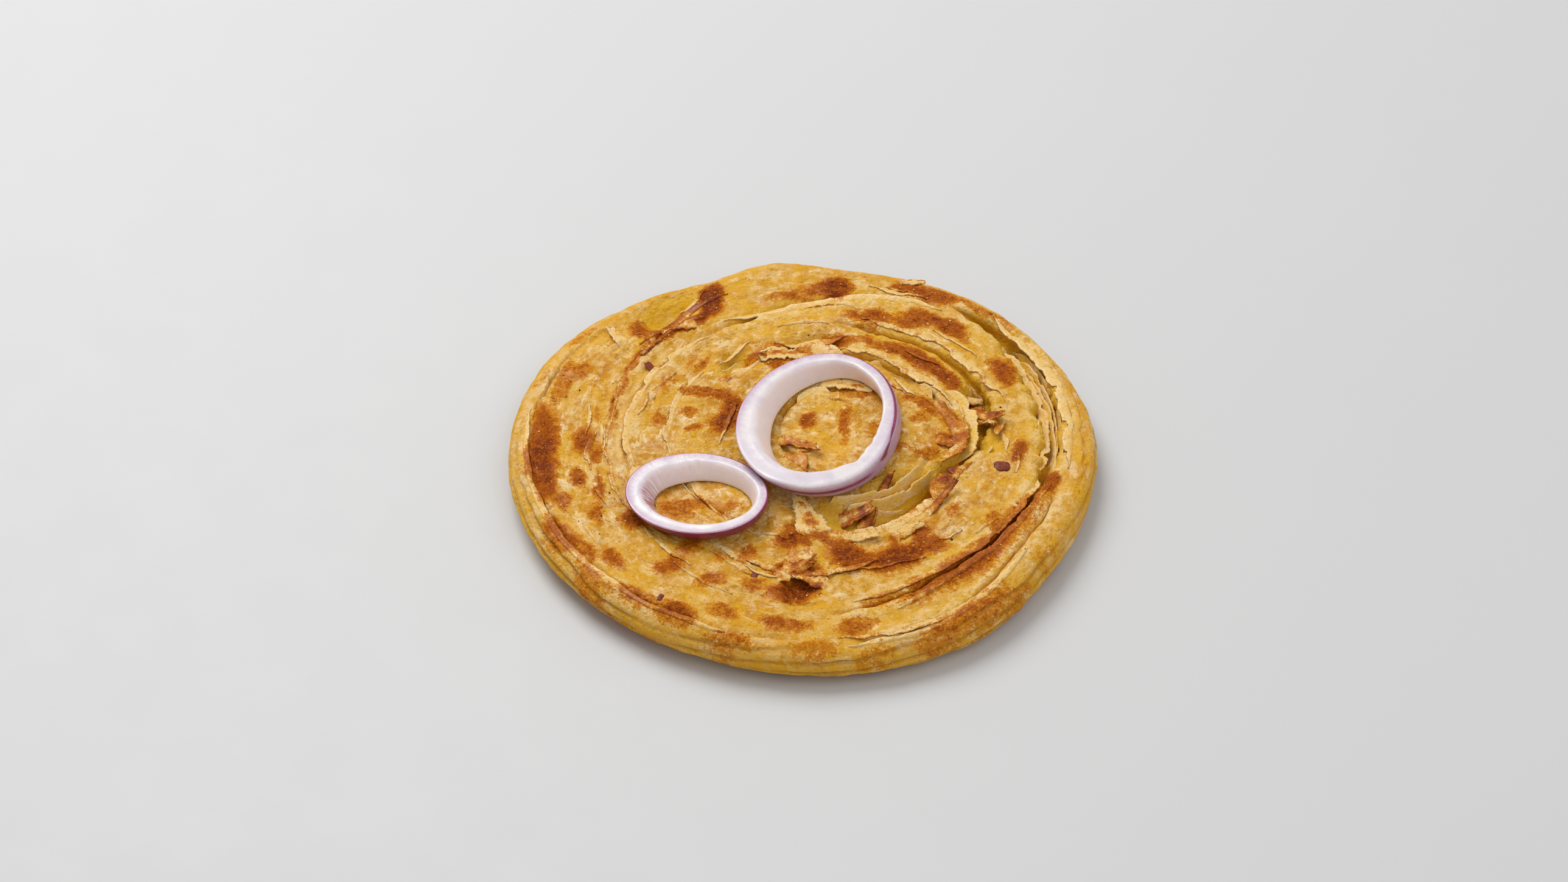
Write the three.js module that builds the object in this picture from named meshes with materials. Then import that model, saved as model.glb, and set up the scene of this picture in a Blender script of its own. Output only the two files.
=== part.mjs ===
// A flaky coil paratha: a strand of layered dough wound into a flat coil, rolled out and griddled, with two
// slices of red onion lying on it. Millimetres, +Z up. The origin is on the table, at the bread's middle.
// The bread is one solid. Its shape is worked out in polar form around the eye of the coil, which lies a
// little off the middle: an outline, a crown, furrows between the turns and pockets of opened layers.
import * as THREE from "three";

// ---- the bread's driving sizes ----
const COIL_EYE = new THREE.Vector2(8, 8); // where the strand's inner end lies, before the bread is centred
const CROWN_HEIGHT = 12.6; // top of the coil's eye
const RIM_HEIGHT = 11.0; // top of the outer turn
const EDGE_HEIGHT = 4.8; // the widest level of the rounded edge
const EDGE_SHARE = 0.075; // share of the radius that the rounded edge takes, above
const BELLY_SHARE = 0.26; // share of the radius that curls up from the table, below
const RIM_LIFT = 1.1; // how far the outer turn is lifted off the table, on average
const LIP_WIDTH = 3.4; // how far a turn's raised lip reaches
const SECTORS = 88; // steps round the bread
const TOP_RINGS = 38; // steps from the eye to the edge
const BELLY_RINGS = 7; // steps from the edge to the flat of the underside
const NARROWEST_FURROW = 1.5; // the finest half-width that these steps can carry

// The outline: [angle in degrees, radius from the coil's eye].
const OUTLINE = [
  [4, 81.7],
  [33, 82.3],
  [61, 84],
  [88, 84.8],
  [104, 88.8],
  [119, 86.6],
  [148, 95.6],
  [177, 97.6],
  [211, 95],
  [248, 90.8],
  [281, 87.8],
  [303, 85],
  [322, 81],
  [343, 80.2],
  [364, 81.7],
];

// The furrows between turns. Each point of a path is [angle in degrees, radius, half-width, depth]; a lip
// is how far the turn on that side stands up beside the furrow.
const FURROWS = [
  {
    // between the outer turn and the next, opening into a leafy trough on the right
    path: [
      [268, 71, 0.8, 0],
      [283, 69.5, 1.1, 2.2],
      [300, 63.5, 1.2, 3.0],
      [325, 63.7, 1.3, 3.2],
      [345, 65, 1.8, 3.6],
      [360, 67.4, 3.4, 4.2],
      [380, 70.6, 4.2, 4.4],
      [396, 73.4, 4.4, 4.4],
      [408, 74.4, 2.4, 4.0],
      [420, 73.6, 0.8, 0],
    ],
    innerLip: 1.2,
    outerLip: 1.1,
  },
  {
    // the same furrow carried on over the top and down the flattened left side
    path: [
      [56, 72.8, 0.9, 0],
      [75, 70, 1.2, 1.4],
      [93, 66.2, 1.7, 2.8],
      [108, 62.9, 1.6, 2.8],
      [122, 61.4, 1.2, 1.5],
      [150, 62, 0.9, 0.7],
      [180, 62, 0.9, 0.9],
      [205, 60.5, 0.9, 0.6],
      [222, 58, 0.9, 0],
    ],
    innerLip: 0.9,
    outerLip: 0.2,
  },
  {
    // the torn edge beside the yellow pocket, running on as a faint seam
    path: [
      [122, 71, 0.9, 0],
      [134, 72.6, 1.2, 1.6],
      [150, 69.6, 0.9, 0.9],
      [175, 68.2, 0.9, 0.8],
      [200, 66.8, 0.9, 0.8],
      [225, 65, 0.9, 0],
    ],
    innerLip: 0.9,
    outerLip: 0.1,
  },
  {
    // the seam inside the rim on the left
    path: [
      [138, 83, 0.9, 0],
      [155, 89, 0.9, 0.7],
      [180, 91.6, 1.0, 1.2],
      [200, 90.2, 1.0, 1.1],
      [225, 87.4, 1.0, 1.2],
      [250, 84.4, 1.0, 1.1],
      [268, 82.6, 0.9, 0],
    ],
    innerLip: 0.3,
    outerLip: 0.7,
  },
  {
    // the crease between the brown strand and the pale outer one, low on the right
    path: [
      [272, 82, 0.9, 0],
      [290, 80.6, 1.1, 2.0],
      [302, 77.6, 1.2, 2.2],
      [316, 72.6, 1.1, 1.7],
      [335, 70.8, 1.0, 1.1],
      [352, 71, 0.9, 0],
    ],
    innerLip: 1.0,
    outerLip: 0.8,
  },
  {
    // under the wide turn's inner edge, from below the eye round to the right
    path: [
      [240, 37, 0.9, 0],
      [256, 39.5, 1.2, 1.5],
      [272, 39.4, 1.7, 2.8],
      [300, 37.8, 1.9, 3.6],
      [330, 36.6, 2.2, 4.6],
      [346, 38.4, 2.4, 5.0],
      [362, 44, 2.4, 2.6],
      [378, 50.5, 2.8, 3.4],
      [388, 53.2, 2.4, 3.8],
      [402, 53.6, 1.6, 3.2],
      [420, 53, 1.2, 2.6],
      [436, 53.6, 1.0, 1.4],
      [452, 56.2, 0.9, 0],
    ],
    innerLip: 0.2,
    outerLip: 1.2,
  },
  {
    // inside the browned ridge above the eye
    path: [
      [20, 38.5, 0.9, 0],
      [40, 38.6, 1.5, 2.0],
      [60, 38.6, 1.5, 2.4],
      [82, 41.2, 1.3, 1.6],
      [92, 42, 0.9, 0],
    ],
    innerLip: 0.2,
    outerLip: 1.0,
  },
  {
    // a seam of the flattened left side
    path: [
      [134, 52, 0.9, 0],
      [158, 50, 0.9, 0.8],
      [180, 49, 0.9, 0.9],
      [205, 47.5, 0.9, 0.7],
      [232, 44, 0.9, 0.8],
      [250, 45, 0.9, 0],
    ],
    innerLip: 0.5,
    outerLip: 0.2,
  },
  {
    // the innermost turn round the eye
    path: [
      [84, 21.5, 0.9, 0],
      [100, 22.4, 1.3, 2.2],
      [122, 20, 1.2, 2.0],
      [160, 16.5, 1.0, 1.0],
      [206, 13, 1.5, 2.2],
      [228, 13, 1.1, 1.2],
      [262, 15.5, 0.9, 0.8],
      [300, 19, 1.0, 1.2],
      [345, 21.5, 0.9, 0],
    ],
    innerLip: 0.5,
    outerLip: 0.3,
  },
];

// Pockets where layers have opened: centre [angle, radius], half-size along and across the turn, depth.
const POCKETS = [
  { at: [130.5, 78.5], along: 10.5, across: 6.2, depth: 3.4 }, // the yellow pocket at the upper left
  { at: [97, 44.6], along: 9, across: 4.2, depth: 3.6 }, // above the large onion ring
  { at: [130.5, 45.2], along: 5, across: 4.4, depth: 3.0 }, // the small window beside it
  { at: [26, 49.6], along: 4.4, across: 3.2, depth: 5.0 }, // the dark hole on the right
  { at: [341, 38.2], along: 6.4, across: 2.4, depth: 5.2 }, // the dark slit under the wide turn
  { at: [317, 30.5], along: 13, across: 7.5, depth: 2.8 }, // the leafy hollow beside it
  { at: [6, 48.5], along: 8, across: 5, depth: 2.0 }, // the open leaves at the right
  { at: [277, 33.5], along: 5, across: 3.6, depth: 2.2 }, // below the eye
  { at: [262, 61], along: 4, across: 5, depth: 1.8 }, // the tear at the bottom
];

// ---- the onion rings ----
// Each is a slice from off the onion's middle, so it narrows towards the table and leans to one side.
const LARGE_RING = {
  name: "onion_ring_large",
  centre: new THREE.Vector2(3.5, 9.6),
  halfLength: 31.6, // half-axes of the outer edge of the upper face
  halfWidth: 23.8,
  turn: 72, // degrees from +X to the long axis
  face: 5.4, // width of the upper face, on average
  wider: 1.5, // how much wider it is on one side, and narrower on the other
  widerSide: 245, // the direction of that side in degrees
  taper: 2.0, // how far the walls draw in from the upper face to the lower one
  lean: new THREE.Vector2(3.8, -0.6), // how far the lower face is shifted
  height: 6.0,
};
const SMALL_RING = {
  name: "onion_ring_small",
  centre: new THREE.Vector2(-31.4, -21.2),
  halfLength: 21.6,
  halfWidth: 17.4,
  turn: -6,
  face: 4.2,
  wider: 0.8,
  widerSide: 170,
  taper: 3.2,
  lean: new THREE.Vector2(1.4, -0.6),
  height: 5.4,
};
const RING_STEPS = 48;
const QUARTERS = [0, 0.25, 0.5, 0.75];
const SEAT_GAP = 0.3; // clearance between a ring and what it lies on
const CLEAR_OF_FACETS = 0.15; // added clearance, for the facets between the points that are tested
const CLEAR_OF_CURVES = 0.45; // the same, where two rings cross
const BEND_REACH = 100; // degrees along a ring over which it bends up to pass over the other one

const smooth = (low, high, value) => THREE.MathUtils.smoothstep(value, low, high);
const bell = (distance, width) => Math.exp(-((distance / width) ** 2));

// The values of a path at an angle, by a cubic through its points, or null past its ends.
function along(path, angle) {
  const last = path.length - 1;
  if (angle < path[0][0] || angle > path[last][0]) return null;
  let i = 0;
  while (i < last - 1 && angle > path[i + 1][0]) i += 1;
  const [from, to] = [path[i], path[i + 1]];
  const [before, after] = [path[Math.max(i - 1, 0)], path[Math.min(i + 2, last)]];
  const span = to[0] - from[0];
  const t = (angle - from[0]) / span;
  return from.slice(1).map((start, k) => {
    const end = to[k + 1];
    const slopeIn = ((end - before[k + 1]) / (to[0] - before[0])) * span;
    const slopeOut = ((after[k + 1] - start) / (after[0] - from[0])) * span;
    const rise = t * t * (3 - 2 * t);
    return start + (end - start) * rise + t * (1 - t) * ((1 - t) * slopeIn - t * slopeOut);
  });
}

function outlineRadius(angle) {
  const isBeforeFirst = angle < OUTLINE[0][0];
  return along(OUTLINE, isBeforeFirst ? angle + 360 : angle)[0];
}

// How far the furrows and their lips move the top at this angle (degrees) and radius.
function furrowRelief(angle, radius) {
  let height = 0;
  for (const { path, innerLip, outerLip } of FURROWS) {
    for (const turn of [0, 360]) {
      const here = along(path, angle + turn);
      if (!here) continue;
      const halfWidth = Math.max(here[1], NARROWEST_FURROW);
      const depth = Math.max(here[2], 0);
      const off = radius - here[0];
      const strength = smooth(0, 1, depth);
      height -= depth / (1 + (off / halfWidth) ** 4);
      height += strength * innerLip * bell(off + halfWidth + LIP_WIDTH / 2, LIP_WIDTH);
      height += strength * outerLip * bell(off - halfWidth - LIP_WIDTH / 2, LIP_WIDTH);
    }
  }
  return height;
}

function pocketRelief(x, y) {
  let height = 0;
  for (const { at, along: halfLength, across, depth } of POCKETS) {
    const angle = THREE.MathUtils.degToRad(at[0]);
    const [dx, dy] = [x - at[1] * Math.cos(angle), y - at[1] * Math.sin(angle)];
    const outward = dx * Math.cos(angle) + dy * Math.sin(angle);
    const sideways = dy * Math.cos(angle) - dx * Math.sin(angle);
    const reach = (sideways / halfLength) ** 2 + (outward / across) ** 2;
    height -= depth / (1 + reach ** 3);
  }
  return height;
}

// Broad unevenness of a hand-rolled bread.
function waviness(x, y) {
  return 0.55 * Math.sin(x / 17 + 1.1) * Math.cos(y / 21 - 0.4) + 0.3 * Math.sin((x + y) / 9.5);
}

// The top of the bread away from its rounded edge, at a point measured from the coil's eye.
function topHeight(x, y) {
  const radius = Math.hypot(x, y);
  const angle = (THREE.MathUtils.radToDeg(Math.atan2(y, x)) + 360) % 360;
  const share = radius / outlineRadius(angle);
  const crown = RIM_HEIGHT + (CROWN_HEIGHT - RIM_HEIGHT) * (1 - share * share);
  const fade = 1 - smooth(0.93, 1, share);
  return crown + waviness(x, y) + fade * (furrowRelief(angle, radius) + pocketRelief(x, y));
}

// The same, measured from the origin.
function breadTop(x, y) {
  return topHeight(x - COIL_EYE.x, y - COIL_EYE.y);
}

// How far the rim is lifted off the table, which varies round the bread.
function rimLift(angle) {
  const a = THREE.MathUtils.degToRad(angle);
  return RIM_LIFT * (1 + 0.45 * Math.sin(2 * a + 0.7) + 0.35 * Math.sin(3 * a + 2.1));
}

// One point of the bread's skin, from the coil's eye: share is 0 at the eye and 1 at the edge.
function skinPoint(angle, share, isTop) {
  const a = THREE.MathUtils.degToRad(angle);
  const radius = share * outlineRadius(angle);
  const [x, y] = [radius * Math.cos(a), radius * Math.sin(a)];
  const lift = rimLift(angle) * smooth(0.72, 1, share);
  const edge = EDGE_HEIGHT + rimLift(angle);
  const roundFrom = 1 - (isTop ? EDGE_SHARE : BELLY_SHARE);
  const into = Math.max(0, (share - roundFrom) / (1 - roundFrom));
  if (!isTop) return new THREE.Vector3(x, y, edge * (1 - Math.sqrt(1 - into ** 3)));
  const top = topHeight(x, y) + lift;
  return new THREE.Vector3(x, y, edge + (top - edge) * Math.sqrt(1 - into * into));
}

// Joins rings of equal length into a closed skin between two pole points, the first on top.
function skinGeometry(topPole, rings, bottomPole) {
  const steps = rings[0].length;
  const points = [topPole, ...rings.flat(), bottomPole];
  const triangles = [];
  for (let j = 0; j < steps; j += 1) {
    const next = (j + 1) % steps;
    triangles.push(0, 1 + j, 1 + next);
    for (let i = 0; i < rings.length - 1; i += 1) {
      const [a, b] = [1 + i * steps + j, 1 + i * steps + next];
      triangles.push(a, a + steps, b, b, a + steps, b + steps);
    }
    const lastRing = 1 + (rings.length - 1) * steps;
    triangles.push(points.length - 1, lastRing + next, lastRing + j);
  }
  return new THREE.BufferGeometry().setFromPoints(points).setIndex(triangles);
}

function breadGeometry() {
  const ring = (share, isTop) =>
    Array.from({ length: SECTORS }, (_, j) => skinPoint((360 * j) / SECTORS, share, isTop));
  const rings = [];
  const straight = TOP_RINGS - 4;
  for (let i = 1; i <= straight; i += 1) rings.push(ring(((1 - EDGE_SHARE) * i) / straight, true));
  for (const step of [0.5, 0.8, 0.95, 1]) rings.push(ring(1 - EDGE_SHARE * (1 - step), true));
  for (let i = 1; i <= BELLY_RINGS; i += 1) {
    rings.push(ring(1 - BELLY_SHARE * (i / BELLY_RINGS) ** 1.4, false));
  }
  const eye = new THREE.Vector3(0, 0, topHeight(0, 0));
  return skinGeometry(eye, rings, new THREE.Vector3(0, 0, 0));
}

// ---- onion rings ----
// The cross-sections of a slice lying at z = 0, each a closed loop of points.
function ringSections(ring) {
  const turn = THREE.MathUtils.degToRad(ring.turn);
  const widerSide = THREE.MathUtils.degToRad(ring.widerSide);
  const origin = new THREE.Vector2();
  return Array.from({ length: RING_STEPS }, (_, i) => {
    const a = (2 * Math.PI * i) / RING_STEPS;
    const outer = new THREE.Vector2(ring.halfLength * Math.cos(a), ring.halfWidth * Math.sin(a));
    const inward = new THREE.Vector2(-outer.x / ring.halfLength ** 2, -outer.y / ring.halfWidth ** 2);
    inward.normalize();
    outer.rotateAround(origin, turn);
    inward.rotateAround(origin, turn);
    const face = ring.face + ring.wider * Math.cos(Math.atan2(outer.y, outer.x) - widerSide);
    const profile = [
      [0.4, 1],
      [face - 0.5, 1],
      [face, 0.9],
      [face, 0.5],
      [face, 0.1],
      [face - 0.6, 0],
      [0.6, 0],
      [0, 0.1],
      [0, 0.5],
      [0, 0.9],
    ];
    return profile.map(([inset, share]) => {
      const down = 1 - share;
      const p = outer.clone().addScaledVector(inward, inset + ring.taper * down);
      p.addScaledVector(ring.lean, down).add(ring.centre);
      return new THREE.Vector3(p.x, p.y, ring.height * share);
    });
  });
}

// Joins cross-sections into a closed band.
function bandGeometry(sections) {
  const size = sections[0].length;
  const triangles = [];
  sections.forEach((_, i) => {
    const nextSection = (i + 1) % sections.length;
    for (let k = 0; k < size; k += 1) {
      const nextPoint = (k + 1) % size;
      const [a, b] = [i * size + k, nextSection * size + k];
      const [c, d] = [i * size + nextPoint, nextSection * size + nextPoint];
      triangles.push(a, b, c, c, b, d);
    }
  });
  return new THREE.BufferGeometry().setFromPoints(sections.flat()).setIndex(triangles);
}

// The plane that a slice settles to: the one that is lowest at the slice's middle and still clears every
// bump. A bump is given from the middle, with its height as z.
function settledPlane(bumps) {
  const heightFor = (slopeX, slopeY) => Math.max(...bumps.map((b) => b.z - slopeX * b.x - slopeY * b.y));
  let best = { slopeX: 0, slopeY: 0, height: heightFor(0, 0) };
  for (let step = 0.05; step > 0.0005; step /= 2) {
    for (let moved = true; moved; ) {
      moved = false;
      for (let direction = 0; direction < 16; direction += 1) {
        const a = (2 * Math.PI * direction) / 16;
        const [slopeX, slopeY] = [best.slopeX + step * Math.cos(a), best.slopeY + step * Math.sin(a)];
        const height = heightFor(slopeX, slopeY);
        if (height < best.height - 1e-6) {
          best = { slopeX, slopeY, height };
          moved = true;
        }
      }
    }
  }
  return best;
}

// Points on the underside of a cross-section and a little to each side of it.
function underside(section) {
  const [inner, outer] = [section[4], section[7]];
  return [-0.15, 0, 0.25, 0.5, 0.75, 1, 1.15].map((t) => inner.clone().lerp(outer, t));
}

// Lays a slice on the bread.
function layOnBread(ring) {
  const sections = ringSections(ring);
  const bumps = sections.flatMap(underside).map((p) => {
    const z = breadTop(p.x, p.y) + SEAT_GAP + CLEAR_OF_FACETS;
    return new THREE.Vector3(p.x - ring.centre.x, p.y - ring.centre.y, z);
  });
  const plane = settledPlane(bumps);
  for (const p of sections.flat()) {
    p.z += plane.height + plane.slopeX * (p.x - ring.centre.x) + plane.slopeY * (p.y - ring.centre.y);
  }
  return sections;
}

// Points all round a cross-section.
function loopPoints(section) {
  const next = (k) => section[(k + 1) % section.length];
  return section.flatMap((p, k) => QUARTERS.map((t) => p.clone().lerp(next(k), t)));
}

// Bends a slice up where it passes over another one, easing back down to the bread on either side.
function bendOver(sections, lowerSections) {
  const lowerMesh = new THREE.Mesh(bandGeometry(lowerSections), new THREE.MeshBasicMaterial());
  const down = new THREE.Raycaster();
  const lowerTop = (p) => {
    down.set(new THREE.Vector3(p.x, p.y, CROWN_HEIGHT * 3), new THREE.Vector3(0, 0, -1));
    const hit = down.intersectObject(lowerMesh)[0];
    return hit ? hit.point.z : -Infinity;
  };
  const needs = sections.map((section, i) => {
    const next = sections[(i + 1) % sections.length];
    const room = QUARTERS.flatMap((t) => loopPoints(section.map((p, k) => p.clone().lerp(next[k], t))))
      .map((p) => lowerTop(p) + SEAT_GAP + CLEAR_OF_CURVES - p.z);
    return Math.max(0, ...room);
  });
  sections.forEach((section, i) => {
    const lifts = needs.map((need, j) => {
      const steps = Math.min(Math.abs(i - j), Math.abs(i - j - 1));
      const apart = (360 * Math.min(steps, RING_STEPS - steps)) / RING_STEPS;
      const share = Math.min(apart / BEND_REACH, 1);
      return need * Math.cos((Math.PI / 2) * share) ** 2;
    });
    const lift = Math.max(...lifts);
    section.forEach((p) => {
      p.z += lift;
    });
  });
}

function meshOf(name, geometry, material) {
  geometry.computeVertexNormals();
  const mesh = new THREE.Mesh(geometry, material);
  mesh.name = name;
  return mesh;
}

const doughMaterial = new THREE.MeshStandardMaterial({ color: 0xdcb06a, roughness: 0.5, metalness: 0 });
const onionMaterial = new THREE.MeshStandardMaterial({ color: 0xdccfdc, roughness: 0.3, metalness: 0 });

const bread = breadGeometry().translate(COIL_EYE.x, COIL_EYE.y, 0);
const smallRing = layOnBread(SMALL_RING);
const largeRing = layOnBread(LARGE_RING);
bendOver(largeRing, smallRing);

const paratha = new THREE.Group();
paratha.add(
  meshOf("paratha", bread, doughMaterial),
  meshOf(SMALL_RING.name, bandGeometry(smallRing), onionMaterial),
  meshOf(LARGE_RING.name, bandGeometry(largeRing), onionMaterial),
);

// The origin goes to the middle of the bread's own box, on the table.
const box = new THREE.Box3().setFromObject(paratha);
const middle = box.getCenter(new THREE.Vector3());
paratha.children.forEach((mesh) => mesh.geometry.translate(-middle.x, -middle.y, 0));

export default paratha;
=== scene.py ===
"""A flaky coiled paratha with two slices of red onion: its finished surfaces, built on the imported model."""

import math

import bpy
import numpy as np
from bpy.props import FloatProperty, FloatVectorProperty, IntProperty, PointerProperty
from mathutils import Matrix, Vector


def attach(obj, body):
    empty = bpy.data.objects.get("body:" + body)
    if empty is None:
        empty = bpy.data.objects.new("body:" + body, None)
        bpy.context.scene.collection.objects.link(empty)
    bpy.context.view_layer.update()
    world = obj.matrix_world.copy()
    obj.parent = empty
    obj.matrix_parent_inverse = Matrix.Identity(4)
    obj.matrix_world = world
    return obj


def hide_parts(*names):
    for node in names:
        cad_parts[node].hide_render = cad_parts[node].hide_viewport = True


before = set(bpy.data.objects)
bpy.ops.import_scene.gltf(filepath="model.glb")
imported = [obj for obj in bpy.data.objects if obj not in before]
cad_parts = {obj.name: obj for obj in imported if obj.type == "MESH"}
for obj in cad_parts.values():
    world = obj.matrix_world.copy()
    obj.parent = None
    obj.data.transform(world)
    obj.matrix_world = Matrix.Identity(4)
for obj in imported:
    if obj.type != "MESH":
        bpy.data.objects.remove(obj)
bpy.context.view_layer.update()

bl_info = {
    "name": "Coiled paratha",
    "version": (1, 0, 0),
    "blender": (4, 5, 0),
    "location": "3D View > Sidebar > Paratha",
    "description": "Models a flaky coiled paratha with red onion rings, and the table it is shown on",
    "category": "Add Mesh",
}

MM = 0.001  # metres in a millimetre; shapes are worked out in millimetres
STREAK_SPREAD = 0.026  # metres; the grain is drawn out where the turns are wider than this
FAR_ABOVE = 99.0  # millimetres; higher than anything here
DEGREES_IN_RADIAN = 57.3
SENSOR_WIDTH = 36.0  # millimetres

# ---------------------------------------------------------------- the coil, as the solid model has it
# Places are in millimetres from the middle of the bread as it was laid out. Polar ones are from the coil's
# eye: angle in degrees, then radius.

EYE = np.array((8.0, 8.0))
CROWN_HEIGHT = 12.6
RIM_HEIGHT = 11.0
EDGE_HEIGHT = 4.8
EDGE_SHARE = 0.075
BELLY_SHARE = 0.26
RIM_LIFT = 1.1

OUTLINE = np.array(
    (
        (4, 81.7),
        (33, 82.3),
        (61, 84),
        (88, 84.8),
        (104, 88.8),
        (119, 86.6),
        (148, 95.6),
        (177, 97.6),
        (211, 95),
        (248, 90.8),
        (281, 87.8),
        (303, 85),
        (322, 81),
        (343, 80.2),
        (364, 81.7),
    )
)

# A furrow between two turns: its path is (angle, radius, half-width, depth); then how far the turn inside it
# and the turn outside it stand up as lips, and how far each lip hangs over it.
FURROWS = (
    {  # between the outer turn and the next, opening into a leafy trough on the right
        "path": (
            (268, 71, 0.6, 0),
            (283, 69.5, 0.9, 2.4),
            (300, 63.5, 1.0, 3.6),
            (325, 63.7, 1.2, 3.8),
            (345, 65, 1.7, 4.2),
            (360, 67.4, 3.3, 4.8),
            (380, 70.6, 4.1, 5.0),
            (396, 73.4, 4.3, 5.0),
            (408, 74.4, 2.3, 4.6),
            (420, 73.6, 0.7, 0),
        ),
        "lips": (1.3, 1.2),
        "overhang": (1.1, 1.1),
    },
    {  # the same furrow carried on over the top and down the flattened left side
        "path": (
            (56, 72.8, 0.7, 0),
            (75, 70, 1.0, 1.8),
            (93, 66.2, 1.5, 3.4),
            (108, 62.9, 1.4, 3.4),
            (122, 61.4, 1.0, 1.9),
            (150, 62, 0.6, 0.9),
            (180, 62, 0.6, 1.1),
            (205, 60.5, 0.6, 0.8),
            (222, 58, 0.6, 0),
        ),
        "lips": (1.0, 0.3),
        "overhang": (1.0, 0.3),
    },
    {  # the torn edge beside the yellow pocket, running on as a faint seam
        "path": (
            (122, 71, 0.6, 0),
            (134, 72.6, 1.0, 1.9),
            (150, 69.6, 0.6, 1.1),
            (175, 68.2, 0.6, 1.0),
            (200, 66.8, 0.6, 1.0),
            (225, 65, 0.6, 0),
        ),
        "lips": (0.9, 0.2),
        "overhang": (0.8, 0.2),
    },
    {  # the seam inside the rim on the left
        "path": (
            (138, 83, 0.6, 0),
            (155, 89, 0.7, 0.9),
            (180, 91.6, 0.8, 1.4),
            (200, 90.2, 0.8, 1.3),
            (225, 87.4, 0.8, 1.4),
            (250, 84.4, 0.8, 1.3),
            (268, 82.6, 0.6, 0),
        ),
        "lips": (0.3, 0.7),
        "overhang": (0.2, 0.5),
    },
    {  # the crease between the brown strand and the pale outer one, low on the right
        "path": (
            (272, 82, 0.6, 0),
            (290, 80.6, 0.9, 2.5),
            (302, 77.6, 1.0, 2.8),
            (316, 72.6, 0.9, 2.2),
            (335, 70.8, 0.8, 1.5),
            (352, 71, 0.6, 0),
        ),
        "lips": (1.0, 0.8),
        "overhang": (0.5, 0.8),
    },
    {  # under the wide turn's inner edge, from below the eye round to the right
        "path": (
            (240, 37, 0.6, 0),
            (256, 39.5, 1.0, 1.8),
            (272, 39.4, 1.4, 3.2),
            (300, 37.8, 1.8, 4.4),
            (330, 36.6, 2.2, 5.6),
            (346, 38.4, 2.4, 6.0),
            (362, 44, 2.3, 3.0),
            (378, 50.5, 2.6, 4.0),
            (388, 53.2, 2.2, 4.6),
            (402, 53.6, 1.4, 4.0),
            (420, 53, 1.0, 3.2),
            (436, 53.6, 0.8, 1.8),
            (452, 56.2, 0.6, 0),
        ),
        "lips": (0.2, 1.3),
        "overhang": (0.3, 1.2),
    },
    {  # inside the browned ridge above the eye
        "path": (
            (20, 38.5, 0.6, 0),
            (40, 38.6, 1.2, 2.4),
            (60, 38.6, 1.2, 2.8),
            (82, 41.2, 1.0, 2.0),
            (92, 42, 0.6, 0),
        ),
        "lips": (0.3, 1.1),
        "overhang": (0.2, 1.0),
    },
    {  # a seam of the flattened left side
        "path": (
            (134, 52, 0.6, 0),
            (158, 50, 0.6, 1.0),
            (180, 49, 0.6, 1.1),
            (205, 47.5, 0.6, 0.9),
            (232, 44, 0.6, 1.0),
            (250, 45, 0.6, 0),
        ),
        "lips": (0.5, 0.2),
        "overhang": (0.4, 0.1),
    },
    {  # the innermost turn round the eye
        "path": (
            (84, 21.5, 0.6, 0),
            (100, 22.4, 1.1, 2.6),
            (122, 20, 1.0, 2.4),
            (160, 16.5, 0.8, 1.2),
            (206, 13, 1.4, 2.8),
            (228, 13, 1.0, 1.5),
            (262, 15.5, 0.7, 1.0),
            (300, 19, 0.8, 1.5),
            (345, 21.5, 0.6, 0),
        ),
        "lips": (0.6, 0.3),
        "overhang": (0.7, 0.3),
    },
)

# Hairline seams where layers end on the surface: path, with no half-width; then the depth.
HAIRLINES = (
    (((118, 38), (135, 34), (158, 31), (185, 30), (206, 31)), 0.7),
    (((128, 67), (150, 65), (175, 64.8), (205, 63.5)), 0.6),
    (((150, 57), (175, 56), (200, 54.5), (226, 52)), 0.8),
    (((140, 77), (158, 78.5), (180, 78), (206, 77), (232, 75)), 0.7),
    (((150, 84), (172, 85.5), (196, 85), (220, 83)), 0.6),
    (((232, 58), (250, 56), (270, 55), (288, 52)), 0.9),
    (((236, 68), (255, 68.5), (272, 66.5)), 0.8),
    (((302, 52), (325, 51), (350, 53), (372, 57)), 0.5),
    (((20, 61), (45, 62.5), (70, 61.5), (92, 60)), 0.5),
    (((62, 79), (80, 78.5), (98, 79.5)), 0.6),
    (((-12, 77), (8, 78), (28, 78.5), (44, 79)), 0.6),
    (((36, 31), (62, 32), (86, 33.5), (110, 33)), 0.8),
    (((-38, 28), (-8, 30.5), (20, 31)), 0.7),
)

# Pockets where layers have opened: centre (angle, radius), half-size along and across the turn, depth.
POCKETS = (
    ((130.5, 78.5), 10.5, 6.2, 3.6),
    ((97, 44.6), 9, 4.2, 4.0),
    ((130.5, 45.2), 5, 4.4, 3.2),
    ((26, 49.6), 4.4, 2.8, 6.0),
    ((341, 38.2), 6.4, 2.0, 6.2),
    ((317, 30.5), 13, 7.5, 3.2),
    ((6, 48.5), 8, 5, 2.2),
    ((277, 33.5), 5, 3.6, 2.4),
    ((262, 61), 4, 5, 1.8),
)

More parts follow.
